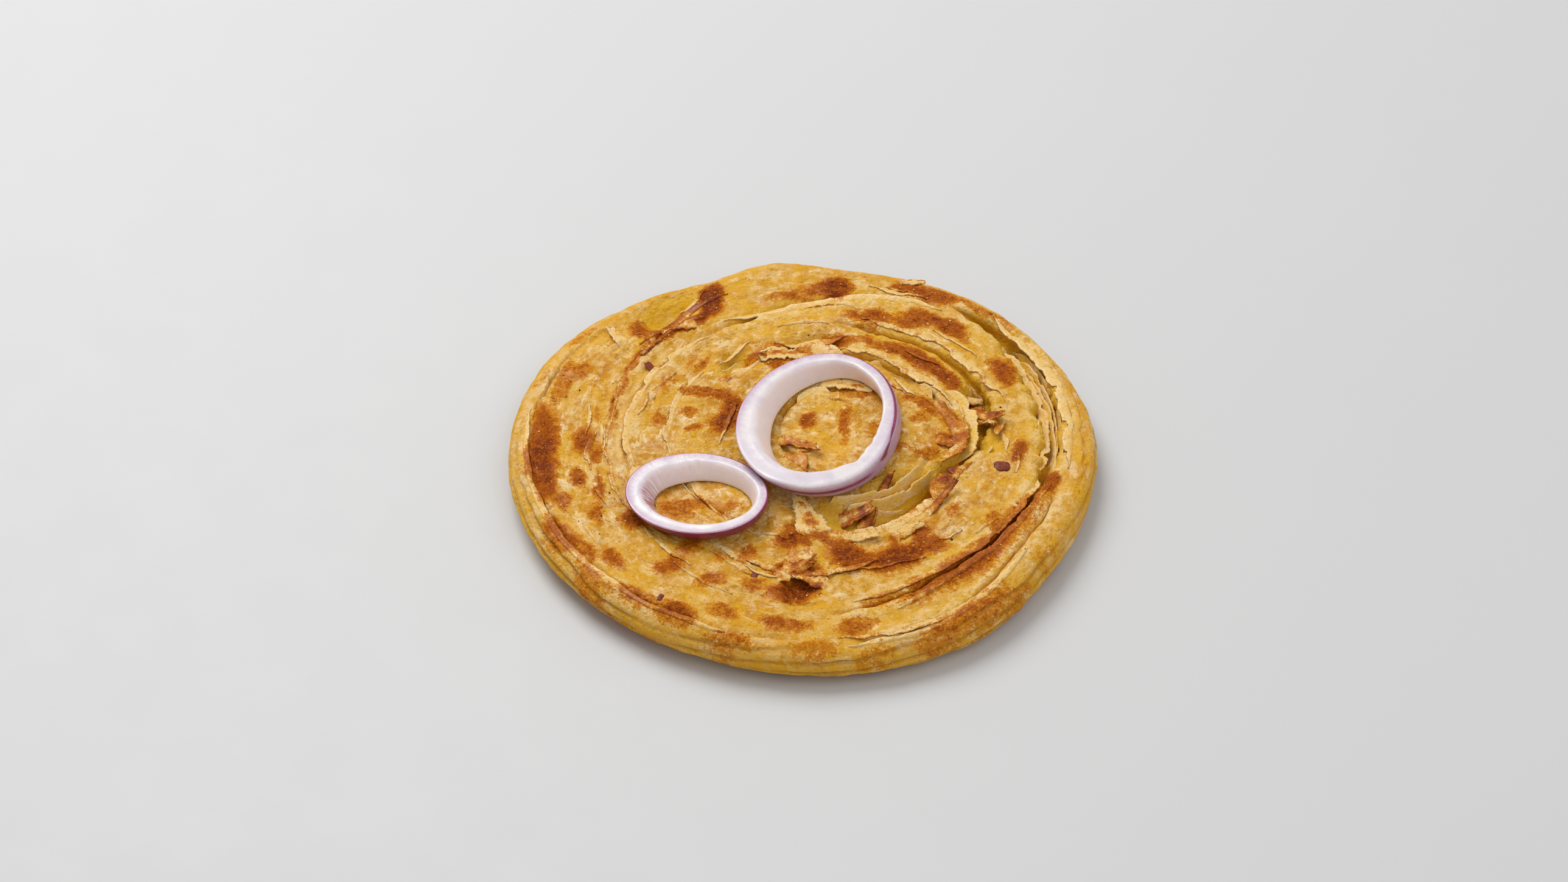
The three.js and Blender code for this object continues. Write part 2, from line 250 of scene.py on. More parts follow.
# Where the griddle has browned the bread: x, y, half-length, half-width, turn in degrees, strength.
BROWNED = (
    # the outer turn, over the top
    (9.5, 80, 5.6, 5.0, 0, 1.0),
    (3, 79, 9, 3.0, 12, 0.6),
    (-8, 76, 5, 2.0, 25, 0.45),
    (-30, 72.5, 8.8, 3.8, 82, 1.08),
    (-32, 64, 3.5, 2.0, 60, 0.85),
    (-38, 60, 5, 2.2, 30, 0.82),
    (-44, 57, 4.5, 3.2, 20, 0.85),
    (-49, 50, 4.5, 2.2, 60, 0.75),
    (-53, 42, 5.5, 1.7, 75, 0.66),
    (-56.5, 32, 6.5, 1.5, 80, 0.6),
    (-58.5, 20, 7, 1.4, 85, 0.56),
    (-52, 58.5, 4.4, 4.0, 40, 0.78),
    (40, 77.5, 10, 3.4, -20, 0.86),
    (31, 81.5, 4.5, 1.8, -12, 0.6),
    (55, 71, 8, 1.5, -38, 0.62),
    (64, 64, 5, 1.2, -48, 0.58),
    # the flattened left side
    (-78.5, 8, 11, 4.2, 84, 0.8),
    (-79, -4, 10, 4.6, 92, 0.98),
    (-76.5, -15, 7, 3.6, 100, 0.84),
    (-81, 17, 6, 2.4, 85, 0.66),
    (-75, 30, 7, 2.4, 80, 0.52),
    (-69.5, 37.5, 4.6, 2.4, 78, 0.6),
    (-73.5, 39.5, 4, 2.0, 70, 0.5),
    (-67, 6.3, 5.4, 3.0, 86, 0.84),
    (-62.3, 1.0, 4.6, 2.0, 88, 0.7),
    (-67.6, -10, 4.2, 2.3, 95, 0.78),
    (-60.5, -15, 6, 2.1, 96, 0.68),
    (-70, -21, 4, 2.3, 100, 0.7),
    (-61, -25.5, 4.4, 2.0, 105, 0.7),
    (-49.5, -27.5, 4.4, 4.0, 70, 0.92),
    (-70, 55, 7, 1.7, 55, 0.5),
    (-82, 35, 7, 1.4, 68, 0.42),
    (-64, 18, 5, 2.0, 80, 0.4),
    # round the eye, to the left
    (-27, 28.5, 8, 2.6, -14, 0.72),
    (-21.5, 22, 5, 4.0, -50, 0.86),
    (-24.5, 15.5, 5, 4.2, 60, 0.94),
    (-33.5, 13, 3, 2.2, 30, 0.62),
    (-35, 20, 3.6, 2.4, 0, 0.56),
    (-44.3, 16, 4.2, 2.3, 88, 0.62),
    (-42, 33, 6, 2.0, 75, 0.42),
    (-36, 31, 3.0, 2.6, 0, 0.5),
    (-32.5, 42, 4.4, 1.6, 60, 0.56),
    (-35.5, 44, 3.6, 1.2, 62, 0.44),
    (-24, 36, 3.2, 2.0, 20, 0.4),
    (-5, 47.5, 9, 4.2, -8, 0.74),
    (-14, 45.5, 4.2, 2.6, 15, 0.6),
    (-9, 41.5, 3.4, 2.2, 10, 0.68),
    # the turn over the eye
    (11, 55.5, 5.6, 3.2, -5, 0.76),
    (19.5, 55, 3.4, 2.2, -10, 0.62),
    (21, 66, 8, 4.0, -6, 0.82),
    (33, 62.5, 4.4, 2.6, -10, 0.7),
    (37, 66, 6.4, 3.6, -20, 0.8),
    (45.5, 61.5, 6.6, 3.6, -36, 0.86),
    (50, 55.5, 2.6, 1.6, -45, 0.5),
    (61.5, 41.5, 6.8, 3.6, -74, 0.88),
    # the ridge inside it
    (25, 51, 5.5, 2.6, -14, 0.56),
    (32.5, 48.5, 7, 3.4, -32, 0.84),
    (39.5, 42.5, 7, 3.4, -48, 0.94),
    (45, 36, 5, 2.8, -62, 0.84),
    # the island right of the rings
    (33.5, 27.5, 5, 2.2, -12, 0.56),
    (38, 23.5, 4.6, 3.2, -50, 0.66),
    (45, 18.5, 5, 2.4, -80, 0.78),
    (35.5, 18.5, 2.6, 2.2, 0, 0.56),
    (45, 10.2, 5, 3.0, 10, 0.94),
    (38, 3.5, 5.0, 2.2, 8, 0.6),
    (29, 4.5, 2.8, 2.0, 20, 0.6),
    # inside the onion rings
    (1.6, 15.6, 3.4, 2.2, 84, 0.86),
    (12.6, 15, 8, 2.2, 84, 0.7),
    (17, 28.5, 7, 1.8, 4, 0.56),
    (14, 31.5, 5, 1.6, 0, 0.5),
    (22, 12, 5, 2.6, 80, 0.34),
    (-35, -20.6, 8, 2.2, 6, 0.66),
    (-37, -25, 6, 2.6, 0, 0.5),
    (-22, -22, 4.6, 2.4, 30, 0.46),
    # the wide turn, low on the right
    (65.4, 5, 5.2, 2.8, 76, 0.8),
    (74.4, -7, 5, 2.8, 74, 0.8),
    (45, -21.5, 3.4, 2.2, 70, 0.56),
    (56, -24, 3.6, 2.4, 60, 0.46),
    (35.5, -30, 4.4, 3.2, 60, 0.78),
    (27.5, -33, 2.4, 2.0, 0, 0.6),
    (27, -41.5, 8.4, 5.0, 24, 1.0),
    (34, -36.5, 5, 3.0, 40, 0.86),
    (39.5, -35.4, 3.4, 3.0, 20, 0.78),
    (13.8, -41, 6.2, 5.2, -20, 0.98),
    (11, -36.5, 4, 2.6, 10, 0.6),
    # the browned strand and the outer one, low on the right
    (66, -20, 6, 2.6, 56, 0.62),
    (60, -29, 7, 3.2, 52, 0.72),
    (54, -37, 7, 4.2, 46, 0.82),
    (46, -44, 7, 4.0, 40, 0.8),
    (36, -52, 7, 3.2, 32, 0.62),
    (24, -58, 7, 2.6, 22, 0.5),
    (71, -40, 7, 2.4, 60, 0.4),
    (58, -57, 7, 3.0, 44, 0.66),
    (48, -64, 8, 3.6, 36, 0.78),
    (39, -71, 7, 3.4, 30, 0.76),
    (64, -52, 5, 1.6, 48, 0.5),
    (64, -24, 13, 5.5, 56, 0.34),
    (52, -41, 14, 6.0, 43, 0.36),
    (36, -54, 12, 5.0, 32, 0.34),
    (56, -56, 11, 4.0, 44, 0.34),
    (72, -12, 9, 3.6, 72, 0.30),
    # below the eye
    (-2.5, -31, 5, 2.6, 80, 0.7),
    (-3, -35.5, 6, 3.0, 4, 0.86),
    (5, -33.5, 4.4, 2.4, -16, 0.72),
    (-3, -45.5, 7, 3.4, 28, 0.76),
    (2, -50, 6, 4.2, 20, 0.84),
    (-2, -55.5, 7, 4.0, 8, 0.98),
    (-15.6, -40.6, 4.2, 2.6, 70, 0.66),
    (-23.7, -42.4, 3.2, 2.0, 80, 0.64),
    (-32.5, -39, 3.6, 2.8, 10, 0.68),
    (-38, -46, 5, 3.4, 30, 0.74),
    (-26, -52, 4.6, 3.0, 10, 0.7),
    (-14, -53, 4, 2.6, 0, 0.6),
    # the near left, like the rest
    (-72, -34, 8, 3.6, 112, 0.88),
    (-64, -40, 6, 3.0, 118, 0.66),
    (-55, -44, 5, 2.6, 120, 0.74),
    (-61, -53, 8, 3.4, 128, 0.84),
    (-48, -59, 6, 3.2, 140, 0.78),
    (-49, -68, 7, 2.4, 146, 0.5),
    (-36, -66, 7, 3.8, 152, 0.9),
    (-22, -64, 5, 3.0, 166, 0.62),
    (-20, -75, 8, 3.2, 170, 0.78),
    (-4, -68, 7, 3.0, 176, 0.7),
    (4, -77, 7, 3.0, 184, 0.66),
    (16, -68, 6, 3.0, 14, 0.6),
    (22, -77, 6, 2.4, 22, 0.62),
)

# The onion slices, as the solid model has them: centre, half-axes of the outer edge of the upper face, turn
# in degrees, width of the upper face, how much wider it is towards one side, the walls' taper, lean and
# height. Then how strongly the skin shows below its line, how far down the near side that line lies, and
# the chips in the edge: angle in degrees, length and depth.
RINGS = {
    "onion_ring_large": {
        "centre": (3.5, 9.6),
        "half": (31.6, 23.8),
        "turn": 72,
        "face": 5.4,
        "wider": (1.5, 245),
        "taper": 2.0,
        "lean": (3.8, -0.6),
        "height": 6.0,
        "skin": 0.25,
        "peeled": 2.9,
        "chips": ((-117, 2.8, 1.3), (-98, 1.8, 0.6)),
    },
    "onion_ring_small": {
        "centre": (-31.4, -21.2),
        "half": (21.6, 17.4),
        "turn": -6,
        "face": 4.2,
        "wider": (0.8, 170),
        "taper": 3.2,
        "lean": (1.4, -0.6),
        "height": 5.4,
        "skin": 1.0,
        "peeled": 0.9,
        "chips": ((95, 1.5, 0.6),),
    },
}
CAD_RING_STEPS = 48
RING_SETTLE = 0.4  # how far a slice sinks from its place in the solid model until it touches the bread
LOWEST_LAYER = 1.5  # no layer inside an opening comes nearer to the table than this

# Thin layers that stand or hang along the turns. Their roots follow (angle, radius, height above the
# surface, width, tilt in degrees); they grow outwards (1) or inwards (-1); then how ragged, how curled and
# how brown they are.
LEAVES = (
    # the lips of the long furrow on the right, inner side, and the layers inside it
    (
        ((276, 67.5, 0, 1.5, 8), (300, 61.4, 0, 2.2, 4), (330, 61.6, 0.1, 2.4, 2), (352, 63, 0.2, 2.2, 0)),
        1, 0.5, 6, 0.10,
    ),
    (
        (
            (350, 63, 0.1, 2.6, -6), (368, 65.4, 0.1, 3.2, -14),
            (385, 68.2, 0.1, 3.4, -10), (402, 71, 0.1, 3, -6),
        ),
        1, 0.5, 4, 0.10,
    ),
    (
        (
            (334, 64.6, -1.0, 3.0, 55), (354, 65.8, -1.5, 4.8, 50),
            (376, 68.4, -1.7, 5.4, 54), (396, 71.5, -1.5, 3.8, 50),
        ),
        1, 0.16, 18, 0.04,
    ),
    (
        (
            (340, 67.0, -0.8, 2.6, 70), (360, 68.0, -1.2, 4.0, 64),
            (380, 70.8, -1.4, 4.8, 62), (400, 74.0, -1.2, 3.4, 60),
        ),
        1, 0.2, 10, 0.02,
    ),
    (
        (
            (350, 69.4, -0.8, 2.2, 78), (368, 71.2, -1.2, 3.6, 72),
            (384, 73.6, -1.2, 3.8, 68), (402, 76.2, -0.9, 2.4, 66),
        ),
        1, 0.2, 6, 0.02,
    ),
    (
        ((352, 72.6, 0, 2.6, 12), (372, 75.6, 0, 3.6, 2), (390, 78.2, 0, 3.4, 0), (410, 78.8, 0, 2.6, 6)),
        -1, 0.45, 2, 0.04,
    ),
    (
        ((286, 72.6, 0, 1.8, 8), (304, 67.2, 0, 2.2, 5), (330, 66.8, 0, 2.0, 8), (346, 68.6, 0, 1.6, 12)),
        -1, 0.55, 6, 0.15,
    ),
    # the furrow over the top
    (
        ((60, 70.6, 0, 1.8, 10), (78, 67.8, 0, 2.6, 6), (96, 63.6, 0.1, 3.0, 4), (116, 60.4, 0, 2.4, 8)),
        1, 0.5, 4, 0.12,
    ),
    (
        ((70, 72.6, 0, 1.6, 10), (90, 68.8, 0, 2.4, 6), (108, 65.2, 0, 2.2, 8), (122, 63.6, 0, 1.6, 12)),
        -1, 0.5, 4, 0.08,
    ),
    (
        ((92, 65.4, -1.6, 3.2, 60), (102, 64.0, -1.8, 3.6, 56), (114, 62.4, -1.4, 2.8, 60)),
        1, 0.4, 10, 0.04,
    ),
    # the wide turn's inner edge, round to the right, hanging over the hollow
    (
        (
            (262, 42.0, 0, 2.0, 6), (285, 42.0, 0.1, 2.8, 2),
            (305, 41.4, 0.1, 3.2, -4), (326, 40.6, 0.2, 3.2, -8),
        ),
        -1, 0.7, 12, 0.3,
    ),
    (
        ((318, 41.6, 0.3, 3.4, 14), (334, 40.8, 0.4, 4.2, 16), (350, 43.4, 0.3, 3.6, 10)),
        -1, 0.9, -14, 0.5,
    ),
    (
        (
            (382, 57.6, 0.1, 2.6, 6), (398, 57.6, 0.1, 3.0, 2),
            (418, 56.6, 0.1, 2.4, 4), (440, 56.8, 0.1, 1.6, 8),
        ),
        -1, 0.6, 4, 0.25,
    ),
    # petals in the hollow right of the eye
    (
        (
            (268, 27.4, -1.0, 3.6, 52), (292, 28.6, -1.4, 5.6, 56),
            (318, 29.8, -1.4, 6.0, 58), (344, 31.0, -1.0, 3.6, 54),
        ),
        -1, 0.14, 14, 0.02,
    ),
    (
        (
            (276, 30.8, -1.2, 3.8, 54), (300, 32.2, -1.6, 6.0, 58),
            (324, 33.4, -1.6, 6.2, 60), (346, 34.4, -1.0, 3.6, 54),
        ),
        -1, 0.16, 16, 0.03,
    ),
    (
        (
            (284, 33.6, -1.4, 3.6, 56), (306, 35.0, -1.8, 5.6, 60),
            (328, 35.8, -1.8, 5.8, 62), (348, 37.0, -1.2, 3.2, 56),
        ),
        -1, 0.18, 14, 0.03,
    ),
    (
        (
            (294, 36.4, -1.8, 3.0, 60), (312, 37.2, -2.2, 5.0, 64),
            (332, 37.8, -2.2, 5.0, 64), (350, 39.6, -1.4, 3.0, 60),
        ),
        -1, 0.2, 8, 0.06,
    ),
    # the island's ragged right edge, and the pale layers under it
    (
        (
            (346, 34.6, 0.1, 2.8, 4), (360, 36.2, 0.2, 4.6, 2),
            (375, 36.6, 0.2, 4.4, 0), (392, 34.6, 0.2, 2.8, 4),
        ),
        1, 0.95, 10, 0.55,
    ),
    (
        (
            (350, 37.6, -0.9, 3.4, 24), (364, 40.6, -1.0, 5.2, 20),
            (380, 42.6, -1.0, 4.6, 18), (396, 41.0, -0.8, 3.0, 20),
        ),
        1, 0.5, 12, 0.06,
    ),
    (
        ((354, 46.4, -1.4, 2.6, 40), (370, 49.4, -1.6, 3.6, 34), (384, 51.6, -1.6, 2.6, 36)),
        1, 0.5, 10, 0.04,
    ),
    # the ridge's inner edge
    (
        ((24, 41.4, 0, 2.4, 6), (42, 41.6, 0.1, 3.4, 0), (62, 41.4, 0.1, 3.2, -2), (86, 43.8, 0, 2.2, 6)),
        -1, 0.6, 6, 0.2,
    ),
    (
        ((30, 36.6, -0.6, 2.4, 40), (50, 37.0, -0.8, 3.0, 36), (74, 39.0, -0.6, 2.4, 40)),
        1, 0.5, 12, 0.05,
    ),
    # layers bridging the opening over the large ring
    (
        ((82, 40.2, -0.2, 2.6, 16), (96, 40.0, -0.3, 4.6, 10), (112, 40.4, -0.2, 3.0, 14)),
        1, 0.6, 10, 0.35,
    ),
    (
        ((84, 48.6, 0, 2.6, 4), (96, 49.2, 0, 3.6, 0), (112, 47.6, 0, 2.6, 6)),
        -1, 0.6, 6, 0.2,
    ),
    (
        ((88, 43.4, -1.9, 2.6, 34), (98, 43.2, -2.2, 3.8, 28), (108, 43.0, -1.8, 2.4, 34)),
        1, 0.5, 16, 0.02,
    ),
    (
        ((119, 41.2, 0, 1.6, 10), (130, 41.0, -0.1, 2.4, 4), (141, 41.6, 0, 1.6, 10)),
        1, 0.5, 6, 0.1,
    ),
    (
        ((124, 46.4, -1.8, 2.0, 60), (132, 46.0, -2.0, 2.8, 50), (140, 46.2, -1.6, 1.8, 60)),
        1, 0.5, 10, 0.02,
    ),
    # the yellow pocket by the rim
    (
        (
            (116, 75.0, -0.2, 1.2, 2), (124, 73.4, 0.1, 3.0, 0),
            (136, 73.2, 0.1, 2.8, 4), (144, 74.6, 0, 1.8, 8),
        ),
        1, 0.7, 6, 0.75,
    ),
    # round the eye
    (
        ((88, 20.2, 0, 1.8, 10), (104, 20.6, 0, 2.6, 4), (124, 18.4, 0, 2.0, 10)),
        1, 0.6, 6, 0.15,
    ),
    (
        (
            (196, 14.6, 0.1, 2.2, 10), (212, 15.0, 0.2, 3.4, 6),
            (228, 14.8, 0.2, 3.4, 8), (246, 15.6, 0.1, 2.0, 12),
        ),
        -1, 0.8, -10, 0.5,
    ),
    # the flattened left side: low edges of layers
    (
        ((128, 60.4, -0.1, 1.6, 4), (150, 60.8, 0, 2.2, 0), (178, 60.6, 0, 2.0, 2), (202, 59.2, 0, 1.4, 6)),
        1, 0.7, 2, 0.15,
    ),
    (
        ((138, 70.8, -0.1, 1.6, 4), (160, 68.0, 0, 2.0, 2), (186, 67.2, 0, 1.8, 4), (210, 66.2, 0, 1.4, 6)),
        1, 0.7, 2, 0.3,
    ),
    (
        ((142, 50.4, -0.1, 1.4, 4), (162, 49.4, 0, 2.0, 2), (186, 48.4, 0, 1.8, 4), (214, 46.6, 0, 1.4, 6)),
        1, 0.8, 2, 0.12,
    ),
    (
        ((172, 93.2, 0, 1.4, 4), (196, 92.2, 0, 2.0, 2), (222, 89.4, 0, 2.0, 2), (250, 86.2, 0, 1.6, 6)),
        -1, 0.4, 2, 0.05,
    ),
    (
        ((236, 56.8, 0, 1.6, 6), (254, 55.4, 0, 2.4, 4), (272, 54.4, 0, 2.2, 6), (286, 52.6, 0, 1.4, 8)),
        1, 0.8, 4, 0.35,
    ),
    # low on the right, along the browned strand and the outer one
    (
        ((274, 83.8, 0, 1.6, 6), (292, 82.4, 0, 2.2, 2), (306, 78.4, 0, 2.4, 0), (322, 73.6, 0, 1.8, 4)),
        -1, 0.5, 4, 0.1,
    ),
    (
        ((272, 80.4, 0, 1.6, 6), (290, 79.0, 0, 2.4, 2), (304, 75.4, 0, 2.2, 2), (320, 71.2, 0, 1.6, 6)),
        1, 0.6, 4, 0.3,
    ),
)

# Loose-ended scraps of layer: where the root is, the way it points in degrees, its length and width, how
# high its tip stands, how much it narrows, how brown it is, and whether the brown runs down its middle (1)
# or round its edge (0).
SCRAPS = (
    (4.5, -33.5, 112, 17, 11, 3.6, 0.95, 0.55, 1),
    (10.5, -24.5, 12, 11, 6.5, 3.0, 0.5, 0.98, 0),
    (17.5, -28.5, 62, 8, 5, 2.6, 0.6, 0.92, 0),
    (22.5, -17.5, 76, 12, 3.0, 2.2, 0.5, 1.06, 0),
    (50.5, 31.5, -66, 17, 6.5, 3.2, 0.75, 0.8, 0),
    (53.0, 21.0, -16, 8, 5.5, 2.4, 0.6, 0.78, 0),
    (49.0, 31.0, 20, 7, 3.4, 1.8, 0.5, 0.15, 0),
    (60.5, 19.5, -100, 7, 3.6, 2.2, 0.7, 0.72, 0),
    (40.0, 9.0, -14, 9, 4.4, 1.5, 0.7, 0.8, 0),
    (36.5, -24.0, 52, 16, 2.6, 3.0, 0.5, 0.9, 0),
    (-8.0, 8.5, -22, 14, 5.2, 1.9, 0.7, 0.6, 0),
    (-3.0, 2.5, 12, 7, 3.4, 1.2, 0.6, 0.5, 0),
    (3.0, 48.5, 186, 17, 9, 1.5, 0.55, 0.66, 1),
    (4.0, 33.5, -8, 17, 6, 1.5, 0.4, 0.42, 1),
    (-4.0, -44.0, 28, 8, 6, 1.5, 0.45, 0.5, 0),
    (-8.0, -50.0, 24, 12, 7, 1.8, 0.5, 0.85, 0),
    (8.0, -52.0, 158, 11, 6, 1.4, 0.6, 0.9, 0),
    (30.0, 83.0, 8, 8, 3.2, 1.4, 0.5, 0.35, 0),
    (-34.0, 60.5, 196, 12, 4.6, 1.3, 0.5, 0.84, 0),
    (-46.0, 55.0, 236, 10, 4.2, 1.2, 0.5, 0.82, 0),
    (-57.0, 50.0, 118, 9, 4.0, 1.2, 0.5, 0.2, 0),
    (27.0, -33.0, 40, 10, 4, 1.3, 0.5, 0.45, 0),
    (14.0, -34.0, 10, 9, 3.2, 1.2, 0.5, 0.3, 0),
    (-24.0, -4.0, 206, 9, 4.0, 0.9, 0.6, 0.1, 0),
    (-50.0, -4.0, 262, 11, 3.2, 0.8, 0.6, 0.1, 0),
)

# Dark red chilli flakes: x, y, length, width, turn in degrees.
CHILLI = (
    (60, -1, 4.2, 3.6, 20),
    (-48, 40, 4.2, 2.2, 8),
    (-13.5, -49, 2.3, 2.0, 40),
    (-40, -60, 2.4, 1.6, 70),
)

# The burnt specks' two tones.
BURNT_DARK = (0.01, 0.006, 0.004)
BURNT_LIGHT = (0.03, 0.015, 0.008)


def seeded(seed):
    return np.random.default_rng(seed)


def smooth(low, high, value):
    """0 below low, 1 above high and a smooth rise between them."""
    share = np.clip((value - low) / (high - low), 0.0, 1.0)
    return share * share * (3 - 2 * share)


def bell(distance, width):
    """1 at no distance, falling to about a third at this width."""
    return np.exp(-((distance / width) ** 2))


def along(path, angle):
    """The values of a path at these angles, by the solid model's cubic, and where the path is defined."""
    path = np.asarray(path, float)
    last = len(path) - 1
    inside = (angle >= path[0, 0]) & (angle <= path[last, 0])
    i = np.clip(np.searchsorted(path[:, 0], angle, side="left") - 1, 0, last - 1)
    before, start, end = path[np.maximum(i - 1, 0)], path[i], path[i + 1]
    after = path[np.minimum(i + 2, last)]
    span = (end[..., 0] - start[..., 0])[..., None]
    t = np.clip((angle - start[..., 0])[..., None] / span, 0, 1)
    slope_in = (end - before)[..., 1:] / (end[..., 0] - before[..., 0])[..., None] * span
    slope_out = (after - start)[..., 1:] / (after[..., 0] - start[..., 0])[..., None] * span
    rise = t * t * (3 - 2 * t)
    first, second = start[..., 1:], end[..., 1:]
    values = first + (second - first) * rise + t * (1 - t) * ((1 - t) * slope_in - t * slope_out)
    return values, inside


def outline_radius(angle):
    angle = np.mod(angle, 360)
    angle = np.where(angle < OUTLINE[0, 0], angle + 360, angle)
    return along(OUTLINE, angle)[0][..., 0]


def middle_of_outline():
    angle = np.radians(np.arange(0, 360, 0.5))
    ring = outline_radius(np.degrees(angle))[:, None] * np.stack((np.cos(angle), np.sin(angle)), -1) + EYE
    return (ring.min(0) + ring.max(0)) / 2


# The model's origin is the middle of the bread's own box.
SHIFT = middle_of_outline()


def noise(points, size, seed, octaves=1, rough=0.5):
    """Smooth random values about 0, for points in millimetres, with features of this size."""
    total = np.zeros(points.shape[:-1])
    weight, weights = 1.0, 0.0
    for octave in range(octaves):
        total += weight * value_noise(points / size, seed + 31 * octave)
        weights += weight
        weight *= rough
        size = size / 2.03
    return total / weights


def value_noise(p, seed):
    """Random values from -1 to 1 at whole places, and smooth between them."""
    cell = np.floor(p).astype(np.int64)
    f = p - cell
    f = f * f * f * (f * (f * 6 - 15) + 10)
    total = np.zeros(p.shape[:-1])
    dims = p.shape[-1]
    primes = (73856093, 19349663, 83492791)
    for corner in range(2**dims):
        key = np.full(p.shape[:-1], seed * 7919 + 1, np.int64)
        weight = np.ones(p.shape[:-1])
        for axis in range(dims):
            bit = (corner >> axis) & 1
            key ^= (cell[..., axis] + bit) * primes[axis]
            weight = weight * (f[..., axis] if bit else 1 - f[..., axis])
        key = (key ^ (key >> 13)) * 1274126177
        key = (key ^ (key >> 16)) & 0xFFFF
        total += weight * (key / 32767.5 - 1)
    return total


def polar(xy):
    """Angle in degrees and radius about the eye."""
    d = xy - EYE
    return np.mod(np.degrees(np.arctan2(d[..., 1], d[..., 0])), 360), np.hypot(d[..., 0], d[..., 1])


def from_polar(angle, radius):
    a = np.radians(angle)
    return np.stack((radius * np.cos(a), radius * np.sin(a)), -1) + EYE


def nearest_spot(xy, size, seed):
    """The distance to the nearest of scattered points, as a share of size."""
    base = np.floor(xy / size).astype(np.int64)
    nearest = np.full(xy.shape[:-1], 9.0)
    for i in (-1, 0, 1):
        for j in (-1, 0, 1):
            cell = base + (i, j)
            spots = []
            for salt in (0, 17):
                key = (cell[..., 0] * 73856093) ^ (cell[..., 1] * 19349663) ^ (seed * 7919 + salt)
                key = (key ^ (key >> 13)) * 1274126177
                spots.append(((key ^ (key >> 16)) & 0xFFFF) / 65535)
            spot = cell + np.stack(spots, -1)
            distance = np.hypot(*np.moveaxis(spot - xy / size, -1, 0))
            nearest = np.minimum(nearest, distance)
    return nearest


# ---------------------------------------------------------------- the bread's surface


def furrow_fields(angle, radius, wander):
    """The furrows at these points: height, sideways pull, how open and lipped they are, and the painted shade
    on their sides.
    """
    height = np.zeros_like(radius)
    pull = np.zeros_like(radius)
    opening = np.zeros_like(radius)
    lipped = np.zeros_like(radius)
    furrow_shade = np.zeros_like(radius)
    for number, furrow in enumerate(FURROWS):
        for turn in (0, 360):
            values, inside = along(furrow["path"], angle + turn)
            centre, half, depth = np.moveaxis(values, -1, 0)
            on_rim = np.stack((np.full_like(angle, number * 9.0), np.radians(angle + turn) * centre), -1)
            ragged = noise(on_rim, 7.0, 5, 3, 0.6)
            centre = centre + 0.9 * ragged * wander
            half = np.maximum(half, 0.35) * (1 + 0.35 * noise(on_rim, 5.0, 8, 2) * wander)
            depth = np.clip(depth, 0, None) * inside * (1 + 0.3 * noise(on_rim, 9.0, 12))
            strength = smooth(0, 1.6, depth)
            off = radius - centre
            height -= depth / (1 + np.abs(off / half) ** 4)
            height -= 0.42 * depth**0.8 * bell(off, half + 4.2)
            opening = np.maximum(opening, smooth(0.6, 4.0, depth) / (1 + np.abs(off / (half + 0.5)) ** 4))
            # painted yellow shade on the furrow's sides, centred a little towards its inner side
            furrow_shade = np.maximum(furrow_shade, smooth(0.8, 3.0, depth) * bell(off + 0.8, half + 3.0))
            inner, outer = furrow["lips"]
            lip_in = strength * bell(off + half + 1.3, 2.4)
            lip_out = strength * bell(off - half - 1.3, 2.4)
            height += inner * lip_in + outer * lip_out
            lipped = np.maximum(lipped, np.maximum(lip_in * (inner > 0.4), lip_out * (outer > 0.4)))
            hang_in, hang_out = furrow["overhang"]
            edge = np.abs(off) - half
            profile = bell(edge - 0.5, 1.1) - 0.45 * bell(edge + 0.9, 0.7)
            pull += strength * profile * np.where(off < 0, hang_in, -hang_out)
    return height, pull, opening, lipped, furrow_shade


def hairline_depth(angle, radius):
    """The low steps where a layer ends on the surface, with a raised edge on their inner side."""
    depth = np.zeros_like(radius)
    for number, (path, most) in enumerate(HAIRLINES):
        path = np.asarray(path, float)
        for turn in (-360, 0, 360):
            values, inside = along(path, angle + turn)
            centre = values[..., 0]
            key = np.stack((np.full_like(angle, 50.0 + number * 7), np.radians(angle) * centre), -1)
            centre = centre + 1.3 * noise(key, 11.0, 21, 3)
            ends = np.minimum(angle + turn - path[0, 0], path[-1, 0] - angle - turn)
            here = inside * smooth(0, 8, ends) * smooth(-0.5, 0.1, noise(key, 6.0, 26))
            off = radius - centre
            depth -= most * here * bell(off, 0.55)
            depth += 0.5 * most * here * bell(off + 1.2, 1.1)
    return depth


def pocket_fields(xy):
    """The pockets at these points: height, how open they are, and the painted shade on the floors of the
    deepest ones.
    """
    height = np.zeros(xy.shape[:-1])
    opening = np.zeros(xy.shape[:-1])
    dark = np.zeros(xy.shape[:-1])
    warp = 0.22 * noise(xy, 5.0, 33, 2)
    for (angle, radius), half_along, across, depth in POCKETS:
        a = math.radians(angle)
        d = xy - EYE - radius * np.array((math.cos(a), math.sin(a)))
        outward = d[..., 0] * math.cos(a) + d[..., 1] * math.sin(a)
        sideways = d[..., 1] * math.cos(a) - d[..., 0] * math.sin(a)
        reach = np.clip((sideways / half_along) ** 2 + (outward / across) ** 2 + warp, 0, None)
        share = 1 / (1 + reach**3)
        height -= depth * share
        opening = np.maximum(opening, share * min(1, depth / 3.6))
        # the deepest pockets get painted shade on their floors
        if depth > 5.5:
            dark = np.maximum(dark, smooth(0.35, 0.8, share))
    return height, opening, dark


